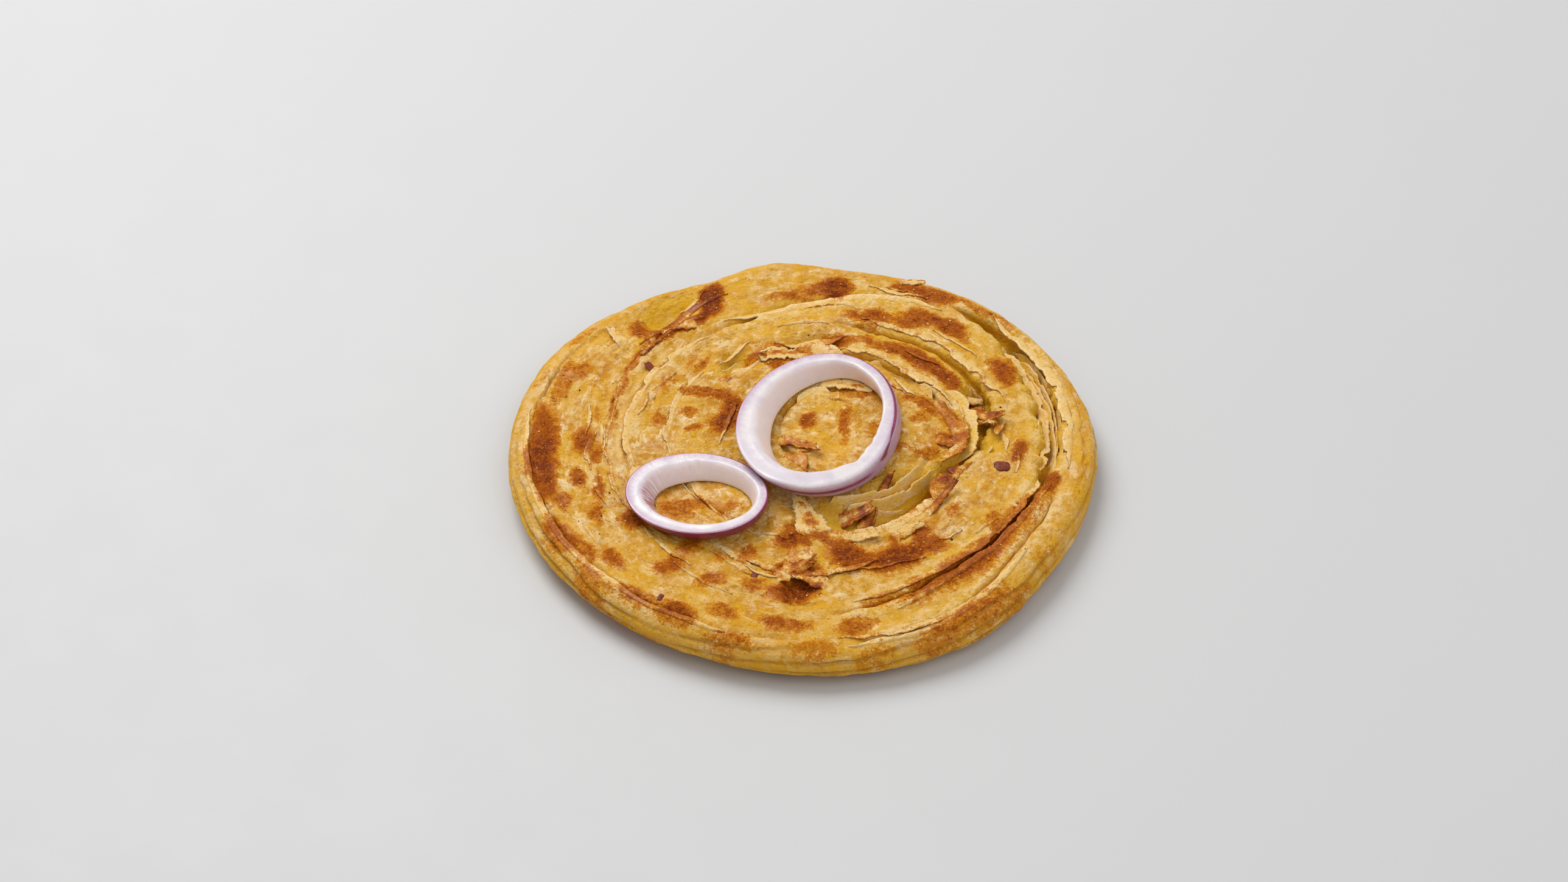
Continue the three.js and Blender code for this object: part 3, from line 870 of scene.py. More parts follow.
def heat_at(xy):
    """How strongly the griddle has browned these points, from 0 to a little over 1."""
    warp = np.stack((noise(xy, 4.5, 41, 3, 0.6), noise(xy, 4.5, 57, 3, 0.6)), -1)
    warped = xy + 1.5 * warp
    cool = np.ones(xy.shape[:-1])
    for x, y, length, width, turn, strength in BROWNED:
        a = math.radians(turn)
        d = warped - (x, y)
        u = (d[..., 0] * math.cos(a) + d[..., 1] * math.sin(a)) / length
        v = (d[..., 1] * math.cos(a) - d[..., 0] * math.sin(a)) / width
        cool *= 1 - np.clip(strength * (1 - smooth(0.45, 1.6, np.hypot(u, v))), 0, 0.985)
        cool -= max(strength - 0.95, 0) * (np.hypot(u, v) < 1)
    return 1 - cool


def waviness(xy):
    """The bread's broad, low unevenness."""
    x, y = np.moveaxis(xy - EYE, -1, 0)
    return 0.55 * np.sin(x / 17 + 1.1) * np.cos(y / 21 - 0.4) + 0.3 * np.sin((x + y) / 9.5)


def rim_lift(angle):
    """How much higher the edge lies at some places than at others."""
    a = np.radians(angle)
    return RIM_LIFT * (1 + 0.45 * np.sin(2 * a + 0.7) + 0.35 * np.sin(3 * a + 2.1))


def bread_top(xy):
    """The height of the top, and what goes with it, at any places out to the edge."""
    angle, radius = polar(xy)
    share = radius / outline_radius(angle)
    fade = 1 - smooth(0.945, 1.0, share)
    wander = smooth(6, 20, radius)
    furrowed, pull, opening, lipped, furrow_shade = furrow_fields(angle, radius, wander)
    sunk, opened, dark = pocket_fields(xy)
    # painted shade on the deepest pockets' floors joins the browning here, coloured as scorched
    heat_and_shade = np.maximum(heat_at(xy), 1.2 * dark)
    # the left side was pressed flat on the griddle, so its grain runs along the turns
    pressed = bell((angle - 185) / 62, 1.0) * smooth(34, 48, radius)
    golden = np.maximum(smooth(46, 66, radius) * (1 - 0.85 * pressed), smooth(0.89, 0.95, share))
    streaks = noise(np.stack((np.radians(angle) * 60 / 9, radius / 1.5), -1), 1.0, 61, 2)
    dough = noise(xy, 3.4, 71, 4, 0.62)
    nearest = nearest_spot(xy + 1.2 * np.stack((dough, -dough), -1), 2.3, 77)
    bubbles = 1 - smooth(0.1, 0.75, nearest)
    height = RIM_HEIGHT + (CROWN_HEIGHT - RIM_HEIGHT) * (1 - share**2) + waviness(xy)
    height += fade * (furrowed + sunk + hairline_depth(angle, radius))
    height += 0.42 * noise(xy, 9.0, 81, 2) + fade * (0.42 * dough + 0.26 * bubbles)
    height += pressed * 0.34 * streaks
    height += 0.35 * heat_and_shade * (1 - opening) - 0.10 * smooth(0.85, 1.0, heat_and_shade)
    return {
        "height": height,
        "pull": pull * fade,
        "opening": np.clip(np.maximum(opening, opened), 0, 1),
        "lipped": lipped,
        "furrow_shade": furrow_shade,
        "golden": golden,
        "heat_and_shade": heat_and_shade,
    }


def bread_point(angle, share, is_top):
    """Where the skin is at this angle and share of the radius, with its colours' masks."""
    radius = share * outline_radius(angle)
    xy = from_polar(angle, radius)
    top = bread_top(xy)
    lift = rim_lift(angle) * smooth(0.72, 1, share)
    edge = EDGE_HEIGHT + rim_lift(angle)
    crown = top["height"] + lift
    into_top = np.clip((share - (1 - EDGE_SHARE)) / EDGE_SHARE, 0, 1)
    into_belly = np.clip((share - (1 - BELLY_SHARE)) / BELLY_SHARE, 0, 1)
    z_top = edge + (crown - edge) * np.sqrt(np.clip(1 - into_top**2, 0, 1))
    z_belly = edge * (1 - np.sqrt(np.clip(1 - into_belly**3, 0, 1)))
    z = np.where(is_top, z_top, z_belly)
    # layers show as ridges round the edge
    rim = smooth(0.9, 1.0, share)
    arc = np.radians(angle) * 85
    layers = 0.6 * noise(np.stack((arc, z), -1), 4.0, 95, 2)
    around = np.stack((np.cos(np.radians(angle)), np.sin(np.radians(angle))), -1) * 85
    phase = z / 2.9 + 0.45 * noise(around, 24.0, 91, 2) + 0.5 * np.sin(np.radians(angle) * 2)
    crease = np.abs(np.mod(phase, 1) - 0.5) * 2
    layers = layers + 1.3 - 2.6 * smooth(0.55, 1.0, crease) * (0.7 + 0.6 * noise(around, 15.0, 93))
    a = np.radians(angle)
    outward = np.stack((np.cos(a), np.sin(a)), -1)
    grow = np.where(is_top, top["pull"], 0) + rim * (0.55 * layers - 0.3)
    xy = xy + outward * grow[:, None]
    flat_below = np.where(is_top, 0.0, smooth(0.74, 0.8, share))
    z = z + np.where(is_top, 0.0, flat_below * 0.2 * noise(xy, 6.0, 97, 3))
    masks = {
        "browning_and_shade": np.where(is_top, top["heat_and_shade"], heat_at(xy * (-1, 1))) * (1 - 0.5 * rim),
        "opening": np.where(is_top, top["opening"] * (1 - rim), 0),
        "lipped": np.where(is_top, top["lipped"], 0),
        "furrow_shade": np.where(is_top, top["furrow_shade"], 0),
        "golden": np.where(is_top, top["golden"], 1),
        # where the rim's layers meet, for painted shade in the creases
        "creased": rim * smooth(0.5, 1.0, crease),
        "edge": rim * (0.3 + 0.7 * bell(angle - 190, 55)),
    }
    return np.concatenate((xy - SHIFT, np.maximum(z, 0.0)[:, None]), -1), masks


# ---------------------------------------------------------------- mesh helpers


def deselect():
    bpy.ops.object.select_all(action="DESELECT")


def only(obj):
    """Makes this the one selected object, and the active one."""
    deselect()
    obj.select_set(True)
    bpy.context.view_layer.objects.active = obj


def coordinates(obj):
    co = np.empty(len(obj.data.vertices) * 3)
    obj.data.vertices.foreach_get("co", co)
    return co.reshape(-1, 3)


def put_coordinates(obj, co):
    obj.data.vertices.foreach_set("co", np.ascontiguousarray(co, float).ravel())
    obj.data.update()


def put_mask(obj, name, values):
    layer = obj.data.attributes.new(name, "FLOAT", "POINT")
    layer.data.foreach_set("value", np.ascontiguousarray(values, np.float32))


def finish_piece(obj, name, material, slot, *nodes):
    """Names a piece, gives it its material, shades it smooth, hangs it under the root and hides the solid
    model's parts that it takes the place of.
    """
    obj.name = name
    obj.data.name = name
    obj.data.materials.clear()
    obj.data.materials.append(material)
    only(obj)
    bpy.ops.object.shade_smooth()
    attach(obj, "root")
    if nodes:
        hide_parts(*nodes)


def apply_modifier(obj, kind, **settings):
    """Adds a modifier of this kind with these settings, and applies it."""
    only(obj)
    modifier = obj.modifiers.new(kind.lower(), kind)
    for key, value in settings.items():
        setattr(modifier, key, value)
    bpy.ops.object.modifier_apply(modifier=modifier.name)


def joined(objects):
    """Joins these objects into the first."""
    deselect()
    for obj in objects:
        obj.select_set(True)
    bpy.context.view_layer.objects.active = objects[0]
    bpy.ops.object.join()
    return bpy.context.active_object


def face_outwards(obj):
    """Closes the seams and turns every face outwards."""
    only(obj)
    bpy.ops.object.mode_set(mode="EDIT")
    bpy.ops.mesh.select_all(action="SELECT")
    bpy.ops.mesh.remove_doubles(threshold=1e-7)
    bpy.ops.mesh.normals_make_consistent(inside=False)
    bpy.ops.object.mode_set(mode="OBJECT")


# ---------------------------------------------------------------- shader groups and materials


def socket_group(name, inputs, outputs):
    """A new shader group with inputs of (name, kind, default) and outputs of (name, kind)."""
    group = bpy.data.node_groups.new(name, "ShaderNodeTree")
    for label, kind, default in inputs:
        socket = group.interface.new_socket(label, in_out="INPUT", socket_type=kind)
        socket.default_value = default
    for label, kind in outputs:
        group.interface.new_socket(label, in_out="OUTPUT", socket_type=kind)
    return group


class Nodes:
    """Adds and links the nodes of one tree. A noise's scale is in features to the metre."""

    def __init__(self, tree):
        self.tree = tree

    def add(self, kind, links=(), **settings):
        node = self.tree.nodes.new(kind)
        for key, value in settings.items():
            setattr(node, key, value)
        for socket, source in dict(links).items():
            self.link(source, node.inputs[socket])
        return node

    def link(self, source, socket):
        if isinstance(source, bpy.types.NodeSocket):
            self.tree.links.new(source, socket)
        else:
            socket.default_value = source

    def math(self, operation, first, second=0.0):
        return self.add("ShaderNodeMath", {0: first, 1: second}, operation=operation).outputs[0]

    def ramp(self, value, low, high, to_low=0.0, to_high=1.0):
        links = {0: value, 1: low, 2: high, 3: to_low, 4: to_high}
        return self.add("ShaderNodeMapRange", links, interpolation_type="SMOOTHSTEP").outputs[0]

    def mix(self, share, first, second):
        node = self.add("ShaderNodeMix", data_type="RGBA")
        self.link(share, node.inputs[0])
        self.link(first, node.inputs[6])
        self.link(second, node.inputs[7])
        return node.outputs[2]

    def noise(self, vector, scale, detail=3.0, rough=0.6, distortion=0.0):
        node = self.add("ShaderNodeTexNoise", {"Vector": vector, "Scale": scale, "Detail": detail})
        self.link(rough, node.inputs["Roughness"])
        self.link(distortion, node.inputs["Distortion"])
        return node.outputs["Fac"]


def browning_group():
    """Turns a dough colour and a heat mask into griddle browning, with its specks and crisp edges."""
    group = socket_group(
        "griddle_browning",
        (
            ("Dough", "NodeSocketColor", (0.6, 0.4, 0.2, 1)),
            ("Heat", "NodeSocketFloat", 0.0),
            ("Vector", "NodeSocketVector", (0, 0, 0)),
            ("Gold", "NodeSocketColor", (0.6, 0.27, 0.05, 1)),
            ("Brown", "NodeSocketColor", (0.4, 0.11, 0.012, 1)),
            ("Scorched", "NodeSocketColor", (0.1, 0.016, 0.002, 1)),
        ),
        (("Color", "NodeSocketColor"), ("Crisp", "NodeSocketFloat")),
    )
    n = Nodes(group)
    source = n.add("NodeGroupInput").outputs
    patchy = n.noise(source["Vector"], 420, 4, 0.65)
    fine = n.noise(source["Vector"], 1500, 3, 0.6)
    felt = n.ramp(source["Heat"], 0.0, 0.25)
    rough = n.math("MULTIPLY", n.math("SUBTRACT", patchy, 0.5), 1.15)
    rough = n.math("ADD", rough, n.math("MULTIPLY", n.math("SUBTRACT", fine, 0.5), 0.95))
    broken = n.math("ADD", n.math("MULTIPLY", rough, felt), source["Heat"])
    gold = n.mix(n.ramp(broken, 0.16, 0.42), source["Dough"], source["Gold"])
    brown = n.mix(n.ramp(broken, 0.45, 0.70), gold, source["Brown"])
    dark = n.mix(n.ramp(broken, 0.76, 1.10), brown, source["Scorched"])
    # pale grains stand out of the browned patches
    grains = n.ramp(n.noise(source["Vector"], 1300, 2, 0.5), 0.60, 0.68)
    speckled = n.mix(n.math("MULTIPLY", grains, 0.5), dark, source["Gold"])
    out = n.add("NodeGroupOutput")
    n.link(speckled, out.inputs["Color"])
    n.link(n.ramp(broken, 0.35, 0.8), out.inputs["Crisp"])
    return group


def dough_grain_group():
    """The fine bubbly grain of griddled dough, as a height, and where oil lies on it."""
    group = socket_group(
        "dough_grain",
        (("Vector", "NodeSocketVector", (0, 0, 0)), ("Fineness", "NodeSocketFloat", 1.0)),
        (("Height", "NodeSocketFloat"), ("Oil", "NodeSocketFloat"), ("Mottle", "NodeSocketFloat")),
    )
    n = Nodes(group)
    source = n.add("NodeGroupInput").outputs
    scaled = n.add("ShaderNodeVectorMath", {0: source["Vector"]}, operation="SCALE")
    n.link(source["Fineness"], scaled.inputs["Scale"])
    place = scaled.outputs[0]
    coarse = n.noise(place, 700, 4, 0.65)
    bubbles = n.add("ShaderNodeTexVoronoi", {"Vector": place, "Scale": 620, "Randomness": 1.0})
    round_tops = n.ramp(bubbles.outputs["Distance"], 0.0, 0.6, 1.0, 0.0)
    height = n.math("ADD", n.math("MULTIPLY", coarse, 0.7), n.math("MULTIPLY", round_tops, 0.3))
    oil = n.ramp(n.noise(place, 130, 3, 0.6), 0.42, 0.62)
    out = n.add("NodeGroupOutput")
    n.link(height, out.inputs["Height"])
    n.link(oil, out.inputs["Oil"])
    n.link(n.noise(place, 260, 5, 0.62), out.inputs["Mottle"])
    return group


def turn_streaks_group():
    """Grain drawn out along the coil's turns, as a height, and where it is pale and crumbly."""
    group = socket_group(
        "turn_streaks",
        (("Vector", "NodeSocketVector", (0, 0, 0)),),
        (("Height", "NodeSocketFloat"), ("Pale", "NodeSocketFloat")),
    )
    n = Nodes(group)
    source = n.add("NodeGroupInput").outputs
    place = n.add("ShaderNodeSeparateXYZ", {0: source["Vector"]}).outputs
    middle = (EYE - SHIFT) * MM
    x, y = n.math("SUBTRACT", place[0], float(middle[0])), n.math("SUBTRACT", place[1], float(middle[1]))
    squares = n.math("ADD", n.math("MULTIPLY", x, x), n.math("MULTIPLY", y, y))
    radius = n.math("MAXIMUM", n.math("SQRT", squares), 0.001)
    across = [n.math("MULTIPLY", n.math("DIVIDE", value, radius), STREAK_SPREAD) for value in (x, y)]
    drawn = n.add("ShaderNodeCombineXYZ", {0: across[0], 1: across[1], 2: radius}).outputs[0]
    away = n.ramp(radius, 0.006, 0.018)
    height = n.math("MULTIPLY", n.noise(drawn, 520, 5, 0.66, 0.3), away)
    pale = n.ramp(n.noise(drawn, 300, 6, 0.7, 0.5), 0.53, 0.66)
    out = n.add("NodeGroupOutput")
    n.link(height, out.inputs["Height"])
    n.link(n.math("MULTIPLY", pale, away), out.inputs["Pale"])
    return group


def new_material(name):
    material = bpy.data.materials.new(name)
    material.use_nodes = True
    material.node_tree.nodes.clear()
    return material, Nodes(material.node_tree)


def group_node(n, group, **links):
    node = n.add("ShaderNodeGroup", node_tree=group)
    for label, source in links.items():
        n.link(source, node.inputs[label])
    return node


def mask(n, name):
    return n.add("ShaderNodeAttribute", attribute_name=name).outputs["Fac"]


def colour(rgb):
    return (rgb[0], rgb[1], rgb[2], 1.0)


def bump(n, height, distance, strength=1.0):
    links = {"Height": height, "Distance": distance, "Strength": strength}
    return n.add("ShaderNodeBump", links).outputs["Normal"]


def principled(
    n, base, roughness, normal, coat=None, scatter=0.0, radius=(1, 0.5, 0.2), scale=0.002, shine=0.5
):
    """The surface shader and the output, with the numbers that are the same all over the piece."""
    shader = n.add("ShaderNodeBsdfPrincipled")
    shader.inputs["Specular IOR Level"].default_value = shine
    n.link(base, shader.inputs["Base Color"])
    n.link(roughness, shader.inputs["Roughness"])
    n.link(normal, shader.inputs["Normal"])
    shader.inputs["Subsurface Weight"].default_value = scatter
    shader.inputs["Subsurface Radius"].default_value = radius
    shader.inputs["Subsurface Scale"].default_value = scale
    if coat is not None:
        n.link(coat, shader.inputs["Coat Weight"])
        shader.inputs["Coat Roughness"].default_value = 0.22
    out = n.add("ShaderNodeOutputMaterial")
    n.link(shader.outputs[0], out.inputs["Surface"])


def shared_groups():
    """The shader groups that several materials use, built the first time that they are wanted."""
    makers = {
        "griddle_browning": browning_group,
        "dough_grain": dough_grain_group,
        "turn_streaks": turn_streaks_group,
    }
    found = {name: bpy.data.node_groups.get(name) or make() for name, make in makers.items()}
    return {
        "browning_and_shade": found["griddle_browning"],
        "grain": found["dough_grain"],
        "streaks": found["turn_streaks"],
    }


def browned_dough(n, groups, colours, place, dough):
    """The shared browning, laid over a dough colour by the piece's own heat mask, which on the bread also
    holds painted shade on the deepest pockets' floors.
    """
    return group_node(
        n,
        groups["browning_and_shade"],
        Dough=dough,
        Heat=mask(n, "browning_and_shade"),
        Vector=place,
        Gold=colour(colours.heat_gold),
        Brown=colour(colours.heat_brown),
        Scorched=colour(colours.heat_scorched),
    )


def bread_material(colours, groups):
    """Griddled dough: cream where pressed, yellow in the openings and browned by the heat mask, with painted
    shade on the openings' floors, on the furrows' sides and in the rim's creases.
    """
    material, n = new_material("griddled_dough")
    place = n.add("ShaderNodeTexCoord").outputs["Object"]
    grain = group_node(n, groups["grain"], Vector=place)
    mottle = grain.outputs["Mottle"]
    cream = n.mix(n.ramp(mottle, 0.40, 0.60), colour(colours.dough_tan), colour(colours.dough_cream))
    warmth = n.ramp(n.noise(place, 75, 4, 0.62), 0.42, 0.60)
    cream = n.mix(n.math("MULTIPLY", warmth, 0.75), cream, colour(colours.dough_yellow))
    stained = n.ramp(n.noise(place, 120, 5, 0.68, 0.6), 0.53, 0.68)
    cream = n.mix(n.math("MULTIPLY", stained, 0.85), cream, colour(colours.dough_gold))
    chalk = n.ramp(n.noise(place, 240, 6, 0.74, 0.4), 0.55, 0.64)
    streaks = group_node(n, groups["streaks"], Vector=place)
    drawn_out = n.math("MULTIPLY", streaks.outputs["Pale"], 0.85)
    chalk = n.math("MAXIMUM", n.math("MULTIPLY", chalk, 0.6), drawn_out)
    # the outer turns are yellower, and the furrows' sides take a painted yellow shade; both keep less of the
    # chalk
    furrow_shade = n.math("MULTIPLY", mask(n, "furrow_shade"), n.ramp(mottle, 0.36, 0.62, 1.0, 0.6))
    golden = n.math("MULTIPLY", mask(n, "golden"), n.ramp(mottle, 0.40, 0.56, 0.95, 0.25))
    clean = n.math("SUBTRACT", 1.0, n.math("MULTIPLY", furrow_shade, 0.8))
    clean = n.math("MULTIPLY", clean, n.math("SUBTRACT", 1.0, golden))
    cream = n.mix(n.math("MULTIPLY", golden, 0.6), cream, colour(colours.dough_yellow))
    # the creases between the rim's layers darken to gold as painted shade
    cream = n.mix(n.math("MULTIPLY", mask(n, "creased"), 0.75), cream, colour(colours.dough_gold))
    chalk = n.math("MULTIPLY", chalk, n.math("MAXIMUM", clean, 0.5))
    cream = n.mix(chalk, cream, colour(colours.dough_white))
    # the painted yellow shade on the furrows' sides
    cream = n.mix(n.math("MULTIPLY", furrow_shade, 0.8), cream, colour(colours.open_yellow))
    edge = n.math("MULTIPLY", mask(n, "edge"), n.ramp(mottle, 0.40, 0.58, 0.85, 0.3))
    cream = n.mix(edge, cream, colour(colours.dough_yellow))
    lips = n.math("MULTIPLY", mask(n, "lipped"), n.ramp(n.noise(place, 300, 3, 0.6), 0.42, 0.60))
    cream = n.mix(n.math("MULTIPLY", lips, 0.5), cream, colour(colours.dough_white))
    # the openings' walls are yellow dough, darkening to olive towards their floors as painted shade
    opening = mask(n, "opening")
    deep = n.mix(n.ramp(opening, 0.45, 0.98), colour(colours.open_yellow), colour(colours.open_olive_shade))
    dough = n.mix(n.ramp(opening, 0.08, 0.62), cream, deep)
    browned = browned_dough(n, groups, colours, place, dough)
    oil = grain.outputs["Oil"]
    roughness = n.math("SUBTRACT", 0.56, n.math("MULTIPLY", oil, 0.16))
    roughness = n.math("ADD", roughness, n.math("MULTIPLY", browned.outputs["Crisp"], 0.06))
    wet = n.math("SUBTRACT", 0.25, n.math("MULTIPLY", browned.outputs["Crisp"], 0.22))
    coat = n.math("MULTIPLY", oil, wet)
    normal = bump(n, n.math("ADD", grain.outputs["Height"], streaks.outputs["Height"]), 0.0009, 0.9)
    base = browned.outputs["Color"]
    principled(n, base, roughness, normal, coat, scatter=0.15, scale=0.0015, shine=0.08)
    return material


# ---------------------------------------------------------------- the bread


def spin_profile(rings_top, rings_belly, steps):
    """A closed disc: a line from pole to pole, spun round. x is the share of the radius, z the side."""
    count = len(rings_top) + len(rings_belly)
    bpy.ops.mesh.primitive_grid_add(x_subdivisions=count - 1, y_subdivisions=1, size=1)
    disc = bpy.context.active_object
    bpy.ops.object.mode_set(mode="EDIT")
    bpy.ops.mesh.select_all(action="DESELECT")
    bpy.ops.object.mode_set(mode="OBJECT")
    for vertex in disc.data.vertices:
        vertex.select = vertex.co.y > 0
    bpy.ops.object.mode_set(mode="EDIT")
    bpy.ops.mesh.delete(type="VERT")
    bpy.ops.object.mode_set(mode="OBJECT")
    order = np.argsort(coordinates(disc)[:, 0])
    line = np.zeros((count, 3))
    shares = list(rings_top) + list(rings_belly)
    levels = [1.0] * len(rings_top) + [-1.0] * len(rings_belly)
    for vertex, share, level in zip(order, shares, levels):
        line[vertex] = (share, 0, level)
    put_coordinates(disc, line)
    bpy.ops.object.mode_set(mode="EDIT")
    bpy.ops.mesh.select_all(action="SELECT")
    bpy.ops.mesh.spin(steps=steps, angle=2 * math.pi, center=(0, 0, 0), axis=(0, 0, 1), use_auto_merge=True)
    bpy.ops.mesh.select_all(action="SELECT")
    bpy.ops.mesh.remove_doubles(threshold=1e-6)
    bpy.ops.object.mode_set(mode="OBJECT")
    return disc


class PARATHA_OT_bread(bpy.types.Operator):
    """Models the bread: a disc spun from its profile, then shaped into turns, furrows and pockets"""

    bl_idname = "paratha.bread"
    bl_label = "Bread"

    def execute(self, context):
        sizes = context.scene.paratha_sizes
        deselect()
        straight = np.linspace(0, 1 - EDGE_SHARE, sizes.top_rings)
        curl = 1 - EDGE_SHARE * (1 - np.sin(np.linspace(0, math.pi / 2, 21)[1:]))
        belly = 1 - BELLY_SHARE * np.linspace(0, 1, 25)[1:] ** 1.6
        bread = spin_profile(np.append(straight, curl), np.append(belly, 0.0), sizes.sectors)
        co = coordinates(bread)
        share = np.hypot(co[:, 0], co[:, 1])
        angle = np.degrees(np.arctan2(co[:, 1], co[:, 0]))
        points, masks = bread_point(np.mod(angle, 360), share, co[:, 2] > 0)
        put_coordinates(bread, points * MM)
        for name, values in masks.items():
            put_mask(bread, name, values)
        face_outwards(bread)
        material = bread_material(context.scene.paratha_colours, shared_groups())
        finish_piece(bread, "bread", material, "bread", "paratha")
        return {"FINISHED"}


# ---------------------------------------------------------------- the onion rings


def ring_outline(ring, around):
    """Points of a slice's outer upper edge, and the way in from each, by the angle round it in radians."""
    long, wide = ring["half"]
    turn = math.radians(ring["turn"])
    spin = np.array(((math.cos(turn), math.sin(turn)), (-math.sin(turn), math.cos(turn))))
    outer = np.stack((long * np.cos(around), wide * np.sin(around)), -1)
    inward = -outer / (long**2, wide**2)
    inward /= np.hypot(inward[..., 0], inward[..., 1])[..., None]
    return outer @ spin, inward @ spin


def ring_face(ring, outer):
    """The width of a slice's upper face, inwards from these points of its outer edge."""
    most, side = ring["wider"]
    return ring["face"] + most * np.cos(np.arctan2(outer[..., 1], outer[..., 0]) - math.radians(side))


def ring_place(ring, around, inset, share):
    """Where a point of a slice's section lies in plan: share is 1 at the upper face, 0 at the lower."""
    outer, inward = ring_outline(ring, around)
    down = (1 - share)[..., None]
    return outer + inward * (inset[..., None] + ring["taper"] * down) + down * ring["lean"] + ring["centre"]


def ring_bottoms(name):
    """How high the solid slice's underside is, at equal steps round it."""
    ring = RINGS[name]
    cad = coordinates(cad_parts[name]) / MM
    around = np.radians(np.arange(CAD_RING_STEPS) * 360 / CAD_RING_STEPS)
    outer = ring_outline(ring, around)[0]
    face = ring_face(ring, outer)
    levels = []
    for inset in (np.full_like(face, 0.6), face - 0.6):
        spots = ring_place(ring, around, inset, np.zeros_like(face)) - SHIFT
        near = np.hypot(*np.moveaxis(cad[None, :, :2] - spots[:, None], -1, 0)) < 0.6
        levels.append(np.where(near, cad[None, :, 2], FAR_ABOVE).min(1))
    return levels


def ring_level(bottoms, around, across):
    """The underside's height round a slice and across it: 0 at the outside and 1 at the inside."""
    steps = np.mod(around, 2 * math.pi) / (2 * math.pi) * CAD_RING_STEPS
    spots = np.arange(CAD_RING_STEPS + 1)
    outer, inner = (np.interp(steps, spots, np.append(row, row[0])) for row in bottoms)
    return outer + (inner - outer) * np.clip(across, 0, 1)


def room_under_rings(xy):
    """The height that nothing lying at these places may pass, for the slices above them."""
    room = np.full(xy.shape[:-1], FAR_ABOVE)
    for name, ring in RINGS.items():
        bottoms = ring_bottoms(name)
        turn = math.radians(ring["turn"])
        spin = np.array(((math.cos(turn), -math.sin(turn)), (math.sin(turn), math.cos(turn))))
        for down in (0.0, 1.0):
            place = xy - ring["centre"] - down * np.array(ring["lean"])
            d = place @ spin
            around = np.arctan2(d[..., 1] / ring["half"][1], d[..., 0] / ring["half"][0])
            outer, inward = ring_outline(ring, around)
            inset = ((place - outer) * inward).sum(-1)
            under = (inset > -1.2) & (inset < ring_face(ring, outer) + ring["taper"] + 1.4)
            level = ring_level(bottoms, around, inset / ring["face"])
            room = np.where(under, np.minimum(room, level - RING_SETTLE - 0.3), room)
    return room


def uncovered(xy):
    """Whether these places are clear of the onion."""
    return room_under_rings(xy) > FAR_ABOVE / 2


def onion_material(colours):
    """Raw onion: moist white flesh, lilac towards the thin purple skin, with upright fibres on its walls."""
    material, n = new_material("red_onion")
    place = n.add("ShaderNodeTexCoord").outputs["Object"]
    along_wall = {0: mask(n, "fibre_x"), 1: mask(n, "fibre_y"), 2: mask(n, "depth")}
    fibres = n.noise(n.add("ShaderNodeCombineXYZ", along_wall).outputs[0], 1.0, 4, 0.6)
    cloudy = n.noise(place, 160, 4, 0.55)
    flesh = n.mix(n.ramp(cloudy, 0.40, 0.62), colour(colours.onion_flesh), colour(colours.onion_lilac))
    wall = n.math("MULTIPLY", mask(n, "wall"), n.ramp(fibres, 0.34, 0.66, 0.55, 1.0))
    flesh = n.mix(wall, flesh, colour(colours.onion_wall))
    blush = n.math("MULTIPLY", mask(n, "blush"), n.ramp(fibres, 0.36, 0.58))
    flesh = n.mix(blush, flesh, colour(colours.onion_magenta))
    ragged = n.math("MULTIPLY", n.math("SUBTRACT", fibres, 0.5), 0.35)
    near_skin = n.math("ADD", mask(n, "near_skin"), n.math("MULTIPLY", ragged, mask(n, "near_skin")))
    flesh = n.mix(n.ramp(near_skin, 0.08, 0.95, 0.0, 0.80), flesh, colour(colours.onion_purple))
    skin = n.mix(n.ramp(cloudy, 0.36, 0.70), colour(colours.onion_skin), colour(colours.onion_magenta))
    skinned = n.math("ADD", mask(n, "skin"), n.math("MULTIPLY", ragged, 0.6))
    base = n.mix(n.ramp(skinned, 0.35, 0.75), flesh, skin)
    fine = n.math("MULTIPLY", n.noise(place, 900, 3, 0.6), 0.4)
    normal = bump(n, n.math("ADD", n.math("MULTIPLY", fibres, 0.6), fine), 0.00022, 0.6)
    rough = n.ramp(cloudy, 0.35, 0.65, 0.26, 0.40)
    wet = n.ramp(n.noise(place, 220, 2, 0.5), 0.40, 0.60, 0.15, 0.6)
    principled(n, base, rough, normal, wet, scatter=0.55, radius=(1, 0.72, 0.85), scale=0.003)
    return material


